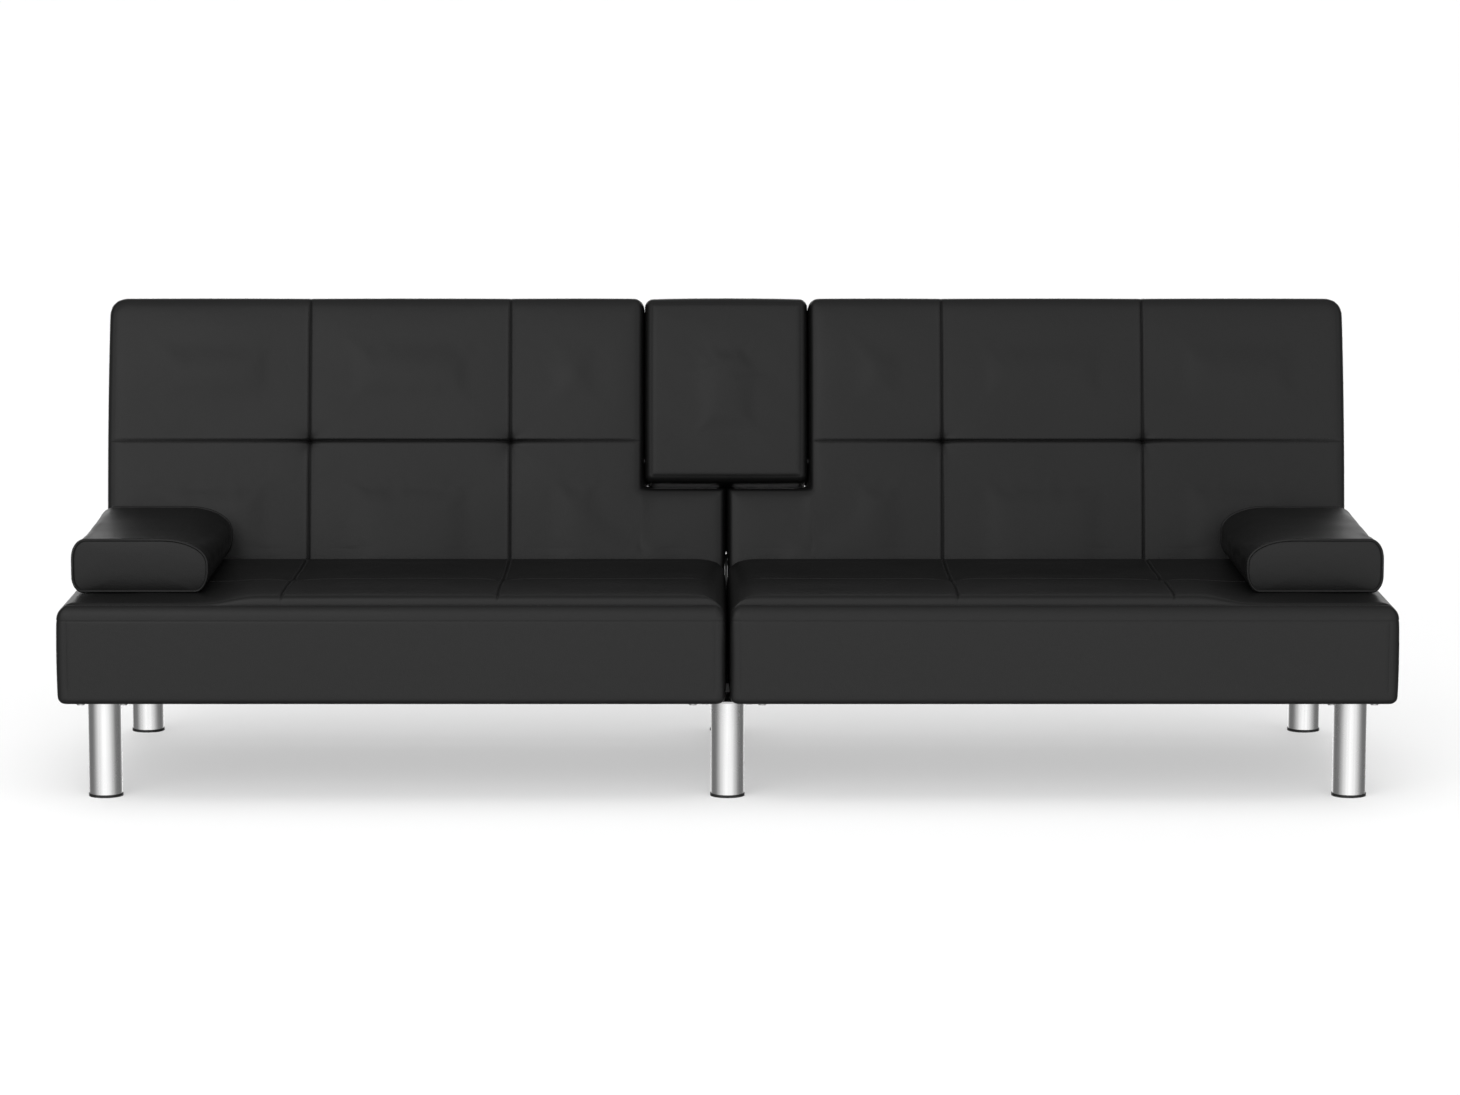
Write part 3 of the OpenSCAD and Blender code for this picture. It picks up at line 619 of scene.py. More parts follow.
def back_front(u, v):
    outer, top, inner, tail, corner = back_distances(u, v)
    drop = joined_drop([
        quarter_drop(outer, BACK_ROUND, BACK_ROUND), quarter_drop(top, BACK_ROUND, BACK_ROUND),
        quarter_drop(inner, NOTCH_ROUND, BACK_ROUND), quarter_drop(corner, NOTCH_ROUND, BACK_ROUND),
        quarter_drop(tail, TAIL_ROUND, TAIL_ROUND),
    ], TAIL_ROUND)
    edge = np.minimum.reduce([outer, top, inner, corner])
    columns = [BACK_LOW[0], *BACK_SEAMS, BACK_HIGH[0]]
    crown = 2 * MM * panels(u, columns, 0.7) * panels(v, [BACK_LOW[2], BACK_MID, BACK_HIGH[2]], 0.7)
    crown *= smooth_step(edge, 0, 40 * MM)
    seams = sum(sewn_seam(u - s, 2.4 * MM) for s in BACK_SEAMS)
    seams += sewn_seam(v - BACK_MID, 1.0) * mid_seam_depth(u)
    seams *= smooth_step(np.minimum(outer, inner), 0, 16 * MM) * 0.7 + 0.3
    boxing = groove(edge - BOX_SEAM, 1.1 * MM, 1.6 * MM) * smooth_step(tail, 20 * MM, 60 * MM)
    pulls = tufts(u, v, BACK_TUFTS)
    uneven = waves(u, v, 11, 0.23) * 0.35 * MM * smooth_step(edge, 10 * MM, 60 * MM)
    return BACK_FRONT - drop + crown - seams - boxing - pulls + uneven - soft_top(top)


def back_rear(u, v):
    outer, top, inner, tail, corner = back_distances(u, v)
    edge = np.minimum.reduce([outer, top, inner, corner, tail])
    sunk = PANEL_SINK * smooth_step(edge, *both(LIP, LIP_STEP))
    return BACK_REAR + even_drop((outer, top, inner, corner, tail), REAR_ROUND) + sunk


def back_push(u, v):
    """The top swells a little between the seams, and the outer side between its ends."""
    outer, top, inner, tail, corner = back_distances(u, v)
    near_top = np.exp(-np.clip(top, 0, FAR) / (30 * MM)) * (u >= NOTCH_U)
    swell = panels(u, [NOTCH_U, *BACK_SEAMS, BACK_HIGH[0]], 0.8) * 0.5 * MM
    near_side = np.exp(-np.clip(outer, 0, FAR) / (30 * MM))
    bow = hump(v, BACK_MID - 0.1, BACK_HIGH[2], 1.0) * 1.2 * MM
    return near_side * bow, near_top * swell


def back_plan():
    beside = [3 * MM, 6 * MM, 13 * MM]
    above = [5 * MM, 10 * MM, 15 * MM]
    keys_u = [NOTCH_U, BACK_LOW[0] + LIP, NOTCH_U + BOX_SEAM, BACK_HIGH[0] - BOX_SEAM]
    keys_u += both(NOTCH_U + LIP, LIP_STEP) + both(BACK_HIGH[0] - LIP, LIP_STEP)
    keys_u += [NOTCH_U + d for d in beside]
    keys_v = [NOTCH_V, NOTCH_V - BOX_SEAM, BACK_HIGH[2] - BOX_SEAM, HINGE_PLATE_TOP + 3 * MM]
    keys_v += both(BACK_LOW[2] + LIP, LIP_STEP) + both(HINGE_PLATE_TOP, MM)
    keys_v += both(NOTCH_V - LIP, LIP_STEP) + both(BACK_HIGH[2] - LIP, LIP_STEP)
    keys_v += [NOTCH_V + d for d in above] + [NOTCH_V - d for d in beside]
    us = grid_lines(BACK_LOW[0], BACK_HIGH[0], NOTCH_ROUND, BACK_ROUND, BACK_SEAMS, keys_u, GRID_STEP)
    vs = grid_lines(BACK_LOW[2], BACK_HIGH[2], TAIL_ROUND, BACK_ROUND, [BACK_MID], keys_v, GRID_STEP)
    return us, vs


def in_back(u, v):
    return (u > NOTCH_U) | (v < NOTCH_V)


WALL_LEVELS = [k / 8 for k in range(1, 8)]
HINGE_PLATE_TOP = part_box("hinge_plate_centre")[1][2] - FOLD_AXIS[2] + 1.5 * MM


def full_swell(share):
    """How far a wall has swollen out: 0 at its two edges and 1 over most of its height."""
    return math.sqrt(math.sin(math.pi * share))


def back_wall(share, u, v):
    """The walls swell until they almost meet their neighbours, and stay flat beside the hinges."""
    swell = full_swell(share)
    from_corner = math.hypot(u - NOTCH_U, v - NOTCH_V)
    gusset = 10 * MM * max(0, 1 - from_corner / (18 * MM)) * swell
    if v > NOTCH_V + MM and u < NOTCH_U + 5 * MM:
        return 2.2 * MM * swell * smooth_step(v, NOTCH_V, NOTCH_V + 15 * MM) + gusset
    from_tee = math.hypot(u - BACK_LOW[0], v - NOTCH_V)
    tee = 8 * MM * max(0, 1 - from_tee / (12 * MM)) * smooth_step(share, 0.2, 0.5)
    if v > NOTCH_V - 4 * MM and u < NOTCH_U + MM:
        return 4.2 * MM * smooth_step(share, 0.45, 0.95) + gusset + tee
    if u < BACK_LOW[0] + 5 * MM:
        forward = BACK_FRONT + (BACK_REAR - BACK_FRONT) * share - 15 * MM
        from_axis = math.hypot(v, max(forward, 0)) if v > 0 else v
        above_plate = smooth_step(from_axis, *both(HINGE_PLATE_TOP, MM))
        return (0.7 + 2.36 * above_plate) * MM * swell
    return 0.9 * MM * swell * smooth_step(v, 70 * MM, 110 * MM)


def on_back(points, side):
    u, v, w = points.T
    return from_back(np.stack([side * u, -w, v], axis=1))


def back_freedom(u, v, w):
    """The front leather is free inside each sewn panel."""
    outer, top, inner, tail, corner = back_distances(u, v)
    edge = np.minimum.reduce([outer, top, inner, corner]) - BOX_SEAM
    from_seams = np.minimum.reduce([edge, tail, *[np.abs(u - s) for s in BACK_SEAMS], np.abs(v - BACK_MID)])
    return smooth_step(from_seams, *FREE_FROM_SEAM) * (w > 0)


def make_back(name, side):
    us, vs = back_plan()
    low_u, low_v, high_u, high_v = BACK_LOW[0], BACK_LOW[2], BACK_HIGH[0], BACK_HIGH[2]
    corners = [
        (low_u, low_v, 1, 1, BACK_ROUND), (high_u, low_v, -1, 1, BACK_ROUND),
        (high_u, high_v, -1, -1, TOP_CORNER), (NOTCH_U, high_v, 1, -1, 15 * MM),
        (low_u, NOTCH_V, 1, -1, 3 * MM),
    ]
    points, faces = padded_block(us, vs, in_back, back_front, back_rear, WALL_LEVELS, corners,
        back_push, back_wall)
    piece = make_piece("back_pad_" + name, on_back(points, side), faces, LEATHER)
    blow_up(piece, back_freedom(*points.T))
    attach(piece, "back")
    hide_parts("back_cover_" + name, "back_foam_" + name)


# ---------- the console ----------

CONSOLE_FRONT = -CONSOLE_LOW[1]
CONSOLE_REAR = -CONSOLE_HIGH[1]
CONSOLE_ROUND = 16 * MM
CONSOLE_CORNER = 11 * MM
TRAY_LOW, TRAY_HIGH = back_box("cup_tray")
TRAY_LIP = 6 * MM
WELL_FLOOR = -TRAY_LOW[1] + 3 * MM    # w of the bottom of the well that the cups drop into
WELL_U = TRAY_HIGH[0] - TRAY_LIP
WELL_V = [TRAY_LOW[2] + TRAY_LIP, TRAY_HIGH[2] - TRAY_LIP]


def console_distances(u, v):
    return CONSOLE_HIGH[0] - u, u - CONSOLE_LOW[0], CONSOLE_HIGH[2] - v, v - CONSOLE_LOW[2]


def console_edge(u, v):
    return np.minimum.reduce(console_distances(u, v))


def console_front(u, v):
    edge = console_edge(u, v)
    crown = 2 * MM * hump(u, CONSOLE_LOW[0], CONSOLE_HIGH[0], 0.7)
    crown *= hump(v, CONSOLE_LOW[2], CONSOLE_HIGH[2], 0.7)
    boxing = groove(edge - BOX_SEAM, 1.1 * MM, 1.6 * MM)
    uneven = waves(u, v, 23, 0.16) * 0.3 * MM * smooth_step(edge, 10 * MM, 50 * MM)
    thinned = boxing + soft_top(CONSOLE_HIGH[2] - v)
    return CONSOLE_FRONT - even_drop(console_distances(u, v), CONSOLE_ROUND) + crown - thinned + uneven


def console_rear(u, v):
    in_well = (np.abs(u) < WELL_U) & (v > WELL_V[0]) & (v < WELL_V[1])
    flat = CONSOLE_REAR + even_drop(console_distances(u, v), REAR_ROUND)
    return np.where(in_well, WELL_FLOOR, flat)


def console_push(u, v):
    """The top edge is crowned, and the sides and bottom swell slightly."""
    near_top = np.exp(-(CONSOLE_HIGH[2] - v) / (25 * MM))
    near_low = np.exp(-(v - CONSOLE_LOW[2]) / (25 * MM))
    rise = hump(u, CONSOLE_LOW[0], CONSOLE_HIGH[0], 0.6) * (2.4 * near_top - 1.0 * near_low) * MM
    near_side = np.exp(-(CONSOLE_HIGH[0] - np.abs(u)) / (25 * MM))
    bow = hump(v, CONSOLE_LOW[2], CONSOLE_HIGH[2], 0.8) * 0.8 * MM * near_side * np.sign(u)
    return bow, rise - 1.2 * MM * near_top


def console_wall(share, u, v):
    """The sides swell towards the notch, and the bottom fills the gap towards its rear."""
    if v < CONSOLE_LOW[2] + 2 * MM:
        return 3.0 * MM * smooth_step(share, 0.5, 0.95)
    return 1.6 * MM * full_swell(share)


def make_console():
    wall = 1.2 * MM
    keys_u = [s * (WELL_U + d) for s in (-1, 1) for d in (-wall, wall)]
    keys_u += [s * (CONSOLE_HIGH[0] - BOX_SEAM) for s in (-1, 1)]
    keys_v = both(WELL_V[0], wall) + both(WELL_V[1], wall)
    keys_v += [CONSOLE_LOW[2] + BOX_SEAM, CONSOLE_HIGH[2] - BOX_SEAM]
    us = grid_lines(CONSOLE_LOW[0], CONSOLE_HIGH[0], CONSOLE_ROUND, CONSOLE_ROUND, [], keys_u, 8 * MM)
    vs = grid_lines(CONSOLE_LOW[2], CONSOLE_HIGH[2], CONSOLE_ROUND, CONSOLE_ROUND, [], keys_v, 8 * MM)
    corners = four_corners(CONSOLE_LOW[0], CONSOLE_HIGH[0], CONSOLE_LOW[2], CONSOLE_HIGH[2], CONSOLE_CORNER)
    points, faces = padded_block(us, vs, lambda u, v: u < FAR, console_front, console_rear,
        WALL_LEVELS, corners, console_push, console_wall)
    piece = make_piece("console_pad", on_back(points, 1), faces, LEATHER)
    u, v, w = points.T
    blow_up(piece, smooth_step(console_edge(u, v) - BOX_SEAM, *FREE_FROM_SEAM) * (w > CONSOLE_FRONT / 2))
    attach(piece, "console")
    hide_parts("console_cover", "console_foam")


# ---------- the seat ----------

SEAT_LOW, SEAT_HIGH = row_box("seat_cover_right")
SEAT_LENGTH = SEAT_HIGH[1] - SEAT_LOW[1]
SEAT_DROP = 23.5 * MM                # from the seat surface to the top of its walls
SEAT_CREST = 12 * MM                 # how far the front of the seat panel stands above its rear
BOLSTER_INNER = row_box("bolster_cover_right")[0][0]
SEAT_SEAMS = [0.343, 0.665]
SEAT_MID = 0.235                     # distance of the cross seam behind the front face
SEAT_TUFTS = [(seam, SEAT_MID) for seam in SEAT_SEAMS]
BORDER_WIDTH = 13 * MM               # the rolled border in front of the front crease
BORDER_RISE = 21.4 * MM
CREASE_WIDTH = 1.5 * MM
CREASE = BORDER_WIDTH + CREASE_WIDTH    # distance of the crease behind the front face
CREASE_DEPTH = 5 * MM
ROLL_WIDTH = 40 * MM
ROLL_POWER = 4.5                     # 2 is an ellipse; more makes the front of the roll more upright
SEAT_SIDE = 28 * MM
SEAT_GAP_ROLL = 48 * MM
SEAT_LOW_ROUND = 11 * MM
DUST_SINK = 3 * MM
SEAT_CORNER = 12 * MM
CORNER_SEAM = 15 * MM                # distance of the upright seams from the ends of the front


def front_roll_drop(distance, crest):
    """The front edge in section: a rolled border, a crease, then the tall roll of the seat panel."""
    border_top = SEAT_DROP - BORDER_RISE + crest
    border = border_top + quarter_drop(distance, BORDER_WIDTH, BORDER_RISE)
    inward = 1 - np.clip((distance - CREASE) / ROLL_WIDTH, 0, 1)
    roll = (border_top + 1.4 * MM) * (1 - (1 - inward ** ROLL_POWER) ** (1 / ROLL_POWER))
    blend = smooth_step(distance, BORDER_WIDTH - 0.5 * MM, CREASE)
    return border * (1 - blend) + roll * blend + groove(distance - CREASE, CREASE_DEPTH, CREASE_WIDTH)


def seat_crest(u, v):
    """The panel is fullest at its front, and pressed flat under the bolster."""
    free = 1 - smooth_step(u, BOLSTER_INNER - 80 * MM, BOLSTER_INNER - 2 * MM)
    return SEAT_CREST * free * (1 - smooth_step(v, 60 * MM, 380 * MM))


def seat_top(u, v):
    outer, inner, rear = SEAT_HIGH[0] - u, u - SEAT_LOW[0], SEAT_LENGTH - v
    crest = seat_crest(u, v)
    fall = SEAT_DROP + crest
    drop = joined_drop([
        front_roll_drop(v, crest), quarter_drop(outer, SEAT_SIDE, fall),
        quarter_drop(inner, SEAT_GAP_ROLL, fall), quarter_drop(rear, SEAT_SIDE, fall)], fall)
    edge = np.minimum.reduce([outer, inner, rear, v])
    columns = [SEAT_LOW[0], *SEAT_SEAMS, SEAT_HIGH[0]]
    crown = 1 * MM * panels(u, columns, 0.7) * panels(v, [0, SEAT_MID, SEAT_LENGTH], 0.7)
    crown *= smooth_step(edge, 5 * MM, 60 * MM)
    reach = smooth_step(v, 6 * MM, 26 * MM)
    seams = sum(sewn_seam(u - s, 2.6 * MM) for s in SEAT_SEAMS) * reach
    cross = sewn_seam(v - SEAT_MID, 2.2 * MM)
    seams += cross * smooth_step(np.minimum(outer, inner), 0, 50 * MM)
    pulls = tufts(u, v, SEAT_TUFTS)
    uneven = waves(u, v, 5, 0.2) * 0.4 * MM * smooth_step(edge, 10 * MM, 60 * MM)
    return SEAT_HIGH[2] + crest - drop + crown - seams - pulls + uneven


def seat_under(u, v):
    distances = (SEAT_HIGH[0] - u, u - SEAT_LOW[0], SEAT_LENGTH - v, v)
    sunk = DUST_SINK * smooth_step(np.minimum.reduce(distances), *both(LIP, LIP_STEP))
    return SEAT_LOW[2] + even_drop(distances, SEAT_LOW_ROUND) + sunk


def no_push(u, v):
    return np.zeros_like(u), np.zeros_like(v)


SEAT_WALL = SEAT_HIGH[2] - SEAT_DROP - SEAT_LOW[2] - SEAT_LOW_ROUND
SEAM_DEPTH = 2.4 * MM                # from the top of the wall down to its boxing seam
SEAT_LEVELS = [d * MM / SEAT_WALL for d in (1.2, 2.4, 3.6, 6)] + [0.06 + 0.94 * k / 9 for k in range(1, 9)]


def seat_wall(share, u, v):
    """Walls with a fine boxing seam under the border and upright seams near the front corners."""
    seam = groove(share * SEAT_WALL - SEAM_DEPTH, 1.0 * MM, 0.9 * MM)
    if v < MM:
        from_end = min(SEAT_HIGH[0] - u, u - SEAT_LOW[0])
        seam = max(seam, groove(from_end - CORNER_SEAM, 1.3 * MM, 1.1 * MM))
    if u < SEAT_LOW[0] + 5 * MM:
        return 3.03 * MM * full_swell(share) * smooth_step(v, 25 * MM, 70 * MM) - seam
    return 0.9 * MM * math.sin(math.pi * share) - seam


def on_seat(points, side):
    u, v, w = points.T
    return np.stack([side * u, SEAT_LOW[1] + v, w], axis=1)


def seat_freedom(u, v, w):
    """The top leather is free inside each sewn panel, apart from under the bolster."""
    edge = np.minimum.reduce([SEAT_HIGH[0] - u, u - SEAT_LOW[0], SEAT_LENGTH - v, v - CREASE])
    from_seams = np.minimum.reduce([edge, *[np.abs(u - s) for s in SEAT_SEAMS], np.abs(v - SEAT_MID)])
    clear = 1 - smooth_step(u, BOLSTER_INNER - 60 * MM, BOLSTER_INNER - 5 * MM)
    return smooth_step(from_seams, *FREE_FROM_SEAM) * clear * (w > (SEAT_LOW[2] + SEAT_HIGH[2]) / 2)


def make_seat(name, side):
    lip_keys = both(LIP, LIP_STEP)
    end_keys = lip_keys + [CORNER_SEAM + k * MM for k in (-1.3, 0, 1.3)]
    us = grid_lines(SEAT_LOW[0], SEAT_HIGH[0], SEAT_GAP_ROLL, SEAT_SIDE, SEAT_SEAMS,
        [SEAT_LOW[0] + k for k in end_keys] + [SEAT_HIGH[0] - k for k in end_keys], GRID_STEP)
    front_keys = [k * MM for k in (0.4, 1.6, 3.6, 6.4, 9.5, 12.2)]
    front_keys += [CREASE + k * MM for k in (-0.9, 0, 1, 2.6, 5, 8, 12, 17, 24, 33)]
    vs = grid_lines(0, SEAT_LENGTH, SEAT_LOW_ROUND, SEAT_SIDE, [SEAT_MID],
        front_keys + lip_keys[1:] + [SEAT_LENGTH - k for k in lip_keys], GRID_STEP)
    corners = four_corners(SEAT_LOW[0], SEAT_HIGH[0], 0, SEAT_LENGTH, SEAT_CORNER)
    points, faces = padded_block(us, vs, lambda u, v: u < FAR, seat_top, seat_under,
        SEAT_LEVELS, corners, no_push, seat_wall)
    piece = make_piece("seat_pad_" + name, on_seat(points, side), faces, LEATHER)
    blow_up(piece, seat_freedom(*points.T))
    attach(piece, "base")
    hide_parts("seat_cover_" + name, "seat_foam_" + name)


# ---------- bolsters ----------

PIPE_RADIUS = 2.4 * MM
PIPE_SIDES = 10
PIPE_START = (0.3, 1, 0.2)           # any direction that is never along a path
CORNER_POINTS = 9
END_INSET = 3 * MM                   # from the ends of the CAD cover to the piped seams
END_DOME = 3 * MM                    # how far an end panel bulges
CAP_SCALES = [0.02, 0.1, 0.25, 0.42, 0.6, 0.75, 0.86, 0.93, 0.97, 0.985]
END_STATIONS = [0, 2, 4, 7, 11, 17, 26]    # mm from a piped seam
LONG_STATIONS = 24
LONG_START = 38                      # mm
BOLSTER_CORNERS = [                  # sign along x and z, width and height of each rounded corner
    (1, 1, 20 * MM, 28 * MM), (-1, 1, 68 * MM, 36 * MM),
    (-1, -1, 22 * MM, 32 * MM), (1, -1, 18 * MM, 24 * MM)]


def piping(name, path):
    """A round cord of leather along a closed path of points."""
    ahead = np.roll(path, -1, axis=0) - np.roll(path, 1, axis=0)
    ahead /= np.linalg.norm(ahead, axis=1)[:, None]
    normal = np.cross(np.cross(ahead[0], PIPE_START), ahead[0])
    points = []
    for point, direction in zip(path, ahead):
        normal = normal - direction * (normal @ direction)
        normal /= np.linalg.norm(normal)
        across = np.cross(direction, normal)
        for k in range(PIPE_SIDES):
            angle = 2 * math.pi * k / PIPE_SIDES
            points.append(point + PIPE_RADIUS * (math.cos(angle) * normal + math.sin(angle) * across))
    faces = []
    for i in range(len(path)):
        a, b = i * PIPE_SIDES, (i + 1) % len(path) * PIPE_SIDES
        for k in range(PIPE_SIDES):
            n = (k + 1) % PIPE_SIDES
            faces.append((a + k, a + n, b + n, b + k))
    return make_piece(name, points, faces, LEATHER)


def bolster_section(half_x, half_z, side):
    """Outline of a bolster: flat below, square outside, and sloping down towards the seat inside."""
    outline = []
    for turn, (sign_x, sign_z, width, height) in enumerate(BOLSTER_CORNERS):
        for k in range(CORNER_POINTS):
            angle = math.pi / 2 * (turn + k / (CORNER_POINTS - 1))
            x = sign_x * (half_x - width) + width * math.cos(angle)
            z = sign_z * (half_z - height) + height * math.sin(angle)
            outline.append((x * side, z))
    ends = outline[1:] + outline[:1]
    filled = []
    for start, end in zip(outline, ends):
        count = max(1, round(math.dist(start, end) / (8 * MM)))
        if math.dist(start, end) > 0.1 * MM:
            filled += [tuple(a + (b - a) * k / count for a, b in zip(start, end)) for k in range(count)]
    return np.array(filled).T


def make_bolster(name, side):
    low, high = row_box("bolster_cover_" + name)
    middle, half = (low + high) / 2, (high - low) / 2
    x, z = bolster_section(half[0] - 1.5 * MM, half[2] - 0.6 * MM, side)
    segments = len(x)
    angle = np.arctan2(z / half[2], x / half[0])
    length = high[1] - low[1] - 2 * END_INSET
    points = []

    upper = np.clip(z / half[2], 0, 1)

    def ring(y, scale, rise=0.0):
        points.append(np.stack([
            middle[0] + x * scale, np.full_like(x, y), middle[2] + z * scale + rise * upper], axis=1))

    for scale in CAP_SCALES:
        ring(low[1] + END_INSET - END_DOME * (1 - scale ** 4) + MM, scale)
    stations = END_STATIONS + list(np.linspace(LONG_START, length / MM - LONG_START, LONG_STATIONS))
    stations += [length / MM - station for station in reversed(END_STATIONS)]
    for station in stations:
        depth = station * MM
        near = min(depth, length - depth)
        pinch = 0.022 * math.exp(-near / (7 * MM))
        swell = 0.012 * math.sin(math.pi * depth / length)
        fuller = 4.5 * MM * smooth_step(depth, 0.02, 0.30) * smooth_step(length - depth, 0, 30 * MM)
        ring(low[1] + END_INSET + depth, 0.992 - pinch + swell, fuller)
        folds = np.cos(9 * angle + 2.1) * math.exp(-near / (26 * MM)) * 0.5 * MM
        lumps = waves(np.full_like(angle, depth), x, 31, 0.16) * 0.5 * MM
        points[-1][:, 2] += (folds + lumps) * upper
        points[-1][:, 0] += (folds + lumps) * x / half[0] * 0.6
    for scale in reversed(CAP_SCALES):
        ring(high[1] - END_INSET + END_DOME * (1 - scale ** 4) - MM, scale)
    count = len(points)
    faces = []
    for i in range(count - 1):
        for k in range(segments):
            n = (k + 1) % segments
            a, b = i * segments, (i + 1) * segments
            faces.append((a + k, b + k, b + n, a + n))
    flat_points = list(np.concatenate(points))
    for ring_start in (0, (count - 1) * segments):
        centre = len(flat_points)
        flat_points.append(np.mean(flat_points[ring_start:ring_start + segments], axis=0))
        for k in range(segments):
            faces.append((ring_start + k, ring_start + (k + 1) % segments, centre))
    flat_points = np.array(flat_points)
    flat_points[:, 2] = np.maximum(flat_points[:, 2], low[2] + 0.8 * MM)
    piece = make_piece("bolster_pad_" + name, flat_points, faces, LEATHER)
    from_ends = np.minimum(flat_points[:, 1] - low[1], high[1] - flat_points[:, 1]) - END_INSET
    above = smooth_step(flat_points[:, 2] - low[2], 12 * MM, 40 * MM)
    blow_up(piece, smooth_step(from_ends, 3 * MM, 20 * MM) * above)
    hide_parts("bolster_cover_" + name, "bolster_core_" + name)
    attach(piece, "bolster_" + name)
    for end, y in (("front", low[1] + END_INSET), ("rear", high[1] - END_INSET)):
        path = np.stack([middle[0] + x * 0.985, np.full_like(x, y), middle[2] + z * 0.985], axis=1)
        path[:, 2] = np.maximum(path[:, 2], low[2] + PIPE_RADIUS + 0.3 * MM)
        cord = piping(f"bolster_piping_{end}_{name}", path)
        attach(cord, "bolster_" + name)


# ---------- stitching along the seams ----------

STITCH_PITCH = 5 * MM
STITCH_LENGTH = 3.7 * MM
STITCH_RADIUS = 0.45 * MM
STITCH_OFFSET = 3.4 * MM             # distance of a row of stitches from its seam
STITCH_SIDES = 5
TUFT_CLEAR = 10 * MM


def stitch_rows(rows, tufted):
    """Start and end of every stitch in the plan, along each row and clear of the tufts."""
    for start, end in rows:
        start, end = np.array(start), np.array(end)
        length = np.linalg.norm(end - start)
        along = (end - start) / length
        for k in range(int((length - STITCH_LENGTH) / STITCH_PITCH)):
            a = start + along * k * STITCH_PITCH
            if all(np.linalg.norm(a - tuft) > TUFT_CLEAR for tuft in tufted):
                yield a, a + along * STITCH_LENGTH


def seam_rows(upright, low, high, level, near, far):
    """Rows on both sides of the upright seams, from low to high, and of one level seam, from near to far."""
    rows = [((place, low), (place, high)) for seam in upright for place in both(seam, STITCH_OFFSET)]
    return rows + [((near, place), (far, place)) for place in both(level, STITCH_OFFSET)]


def sew(name, pad, rows, tufted, place, outside, body):
    """Lays stitches of thread on the finished surface of a pad; outside is a level above it."""
    graph = bpy.context.evaluated_depsgraph_get()
    tree = BVHTree.FromObject(bpy.data.objects[pad], graph)
    inward = Vector(place(np.array([[0, 0, -1.0]]))[0] - place(np.array([[0, 0, 0.0]]))[0])
    points, faces = [], []
    for a, b in stitch_rows(rows, tufted):
        ends = place(np.array([[*a, outside], [*b, outside]]))
        hits = [tree.ray_cast(Vector(end), inward) for end in ends]
        if any(hit[0] is None for hit in hits):
            continue
        normal = (hits[0][1] + hits[1][1]).normalized()
        across = (hits[1][0] - hits[0][0]).normalized().cross(normal)
        middle = (hits[0][0] + hits[1][0]) / 2
        first = len(points)
        for centre, lift in ((hits[0][0], -0.4), (middle, 0.6), (hits[1][0], -0.4)):
            for k in range(STITCH_SIDES):
                angle = 2 * math.pi * k / STITCH_SIDES
                ring = across * math.cos(angle) + normal * (math.sin(angle) + lift)
                points.append(centre + ring * STITCH_RADIUS)
        for k in range(STITCH_SIDES):
            n = (k + 1) % STITCH_SIDES
            for row in (first, first + STITCH_SIDES):
                faces.append((row + k, row + n, row + STITCH_SIDES + n, row + STITCH_SIDES + k))
        faces.append(tuple(first + k for k in range(STITCH_SIDES)))
        faces.append(tuple(first + 2 * STITCH_SIDES + k for k in range(STITCH_SIDES)))
    piece = make_piece(name, points, faces, THREAD, 0)
    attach(piece, body)


def sew_back(name, side):
    rows = seam_rows(BACK_SEAMS, BACK_LOW[2] + TAIL_ROUND, BACK_HIGH[2] - BOX_SEAM - 4 * MM,
        BACK_MID, NOTCH_U + BOX_SEAM + 6 * MM, BACK_HIGH[0] - BOX_SEAM - 6 * MM)
    sew("back_stitching_" + name, "back_pad_" + name, rows, BACK_TUFTS,
        lambda points: on_back(points, side), BACK_FRONT + 30 * MM, "back")


def sew_seat(name, side):
    near, far = SEAT_LOW[0] + SEAT_GAP_ROLL, SEAT_HIGH[0] - SEAT_SIDE
    border = CREASE - 5.5 * MM
    rows = [((near, border), (far, border))]
    rows += seam_rows(SEAT_SEAMS, CREASE + 4 * MM, SEAT_LENGTH - SEAT_SIDE, SEAT_MID, near, far)
    sew("seat_stitching_" + name, "seat_pad_" + name, rows, SEAT_TUFTS,
        lambda points: on_seat(points, side), SEAT_HIGH[2] + 40 * MM, "base")


# ---------- cloth panels at the rear and underneath ----------


def cloth_panel(name, us, vs, inside, surface, place, node, body):
    """A thin stretched cloth over a plan grid, which sags a little between its edges."""
    thickness = 0.7 * MM
    points, faces = padded_block(us, vs, inside, surface,
        lambda u, v: surface(u, v) - thickness, [0.5], [], no_push, lambda share, u, v: 0)
    piece = make_piece(name, place(points), faces, DUST, 0)
    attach(piece, body)
    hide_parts(node)


def make_back_panel(name, side):
    margin = LIP + 0.5 * MM
    us = grid_lines(BACK_LOW[0] + margin, BACK_HIGH[0] - margin, MM, MM, [], [NOTCH_U + margin], 22 * MM)
    vs = grid_lines(BACK_LOW[2] + margin, BACK_HIGH[2] - margin, MM, MM, [], [NOTCH_V - margin], 22 * MM)
    level = BACK_REAR + 2.4 * MM

    def inside(u, v):
        return (u > NOTCH_U + margin) | (v < NOTCH_V - margin)

    def surface(u, v):
        return level + 0.5 * MM * waves(u, v, 41, 0.3) * hump(u, us[0], us[-1], 0.5)

    cloth_panel("back_cloth_" + name, us, vs, inside, surface,
        lambda points: on_back(points, side), "back_panel_" + name, "back")


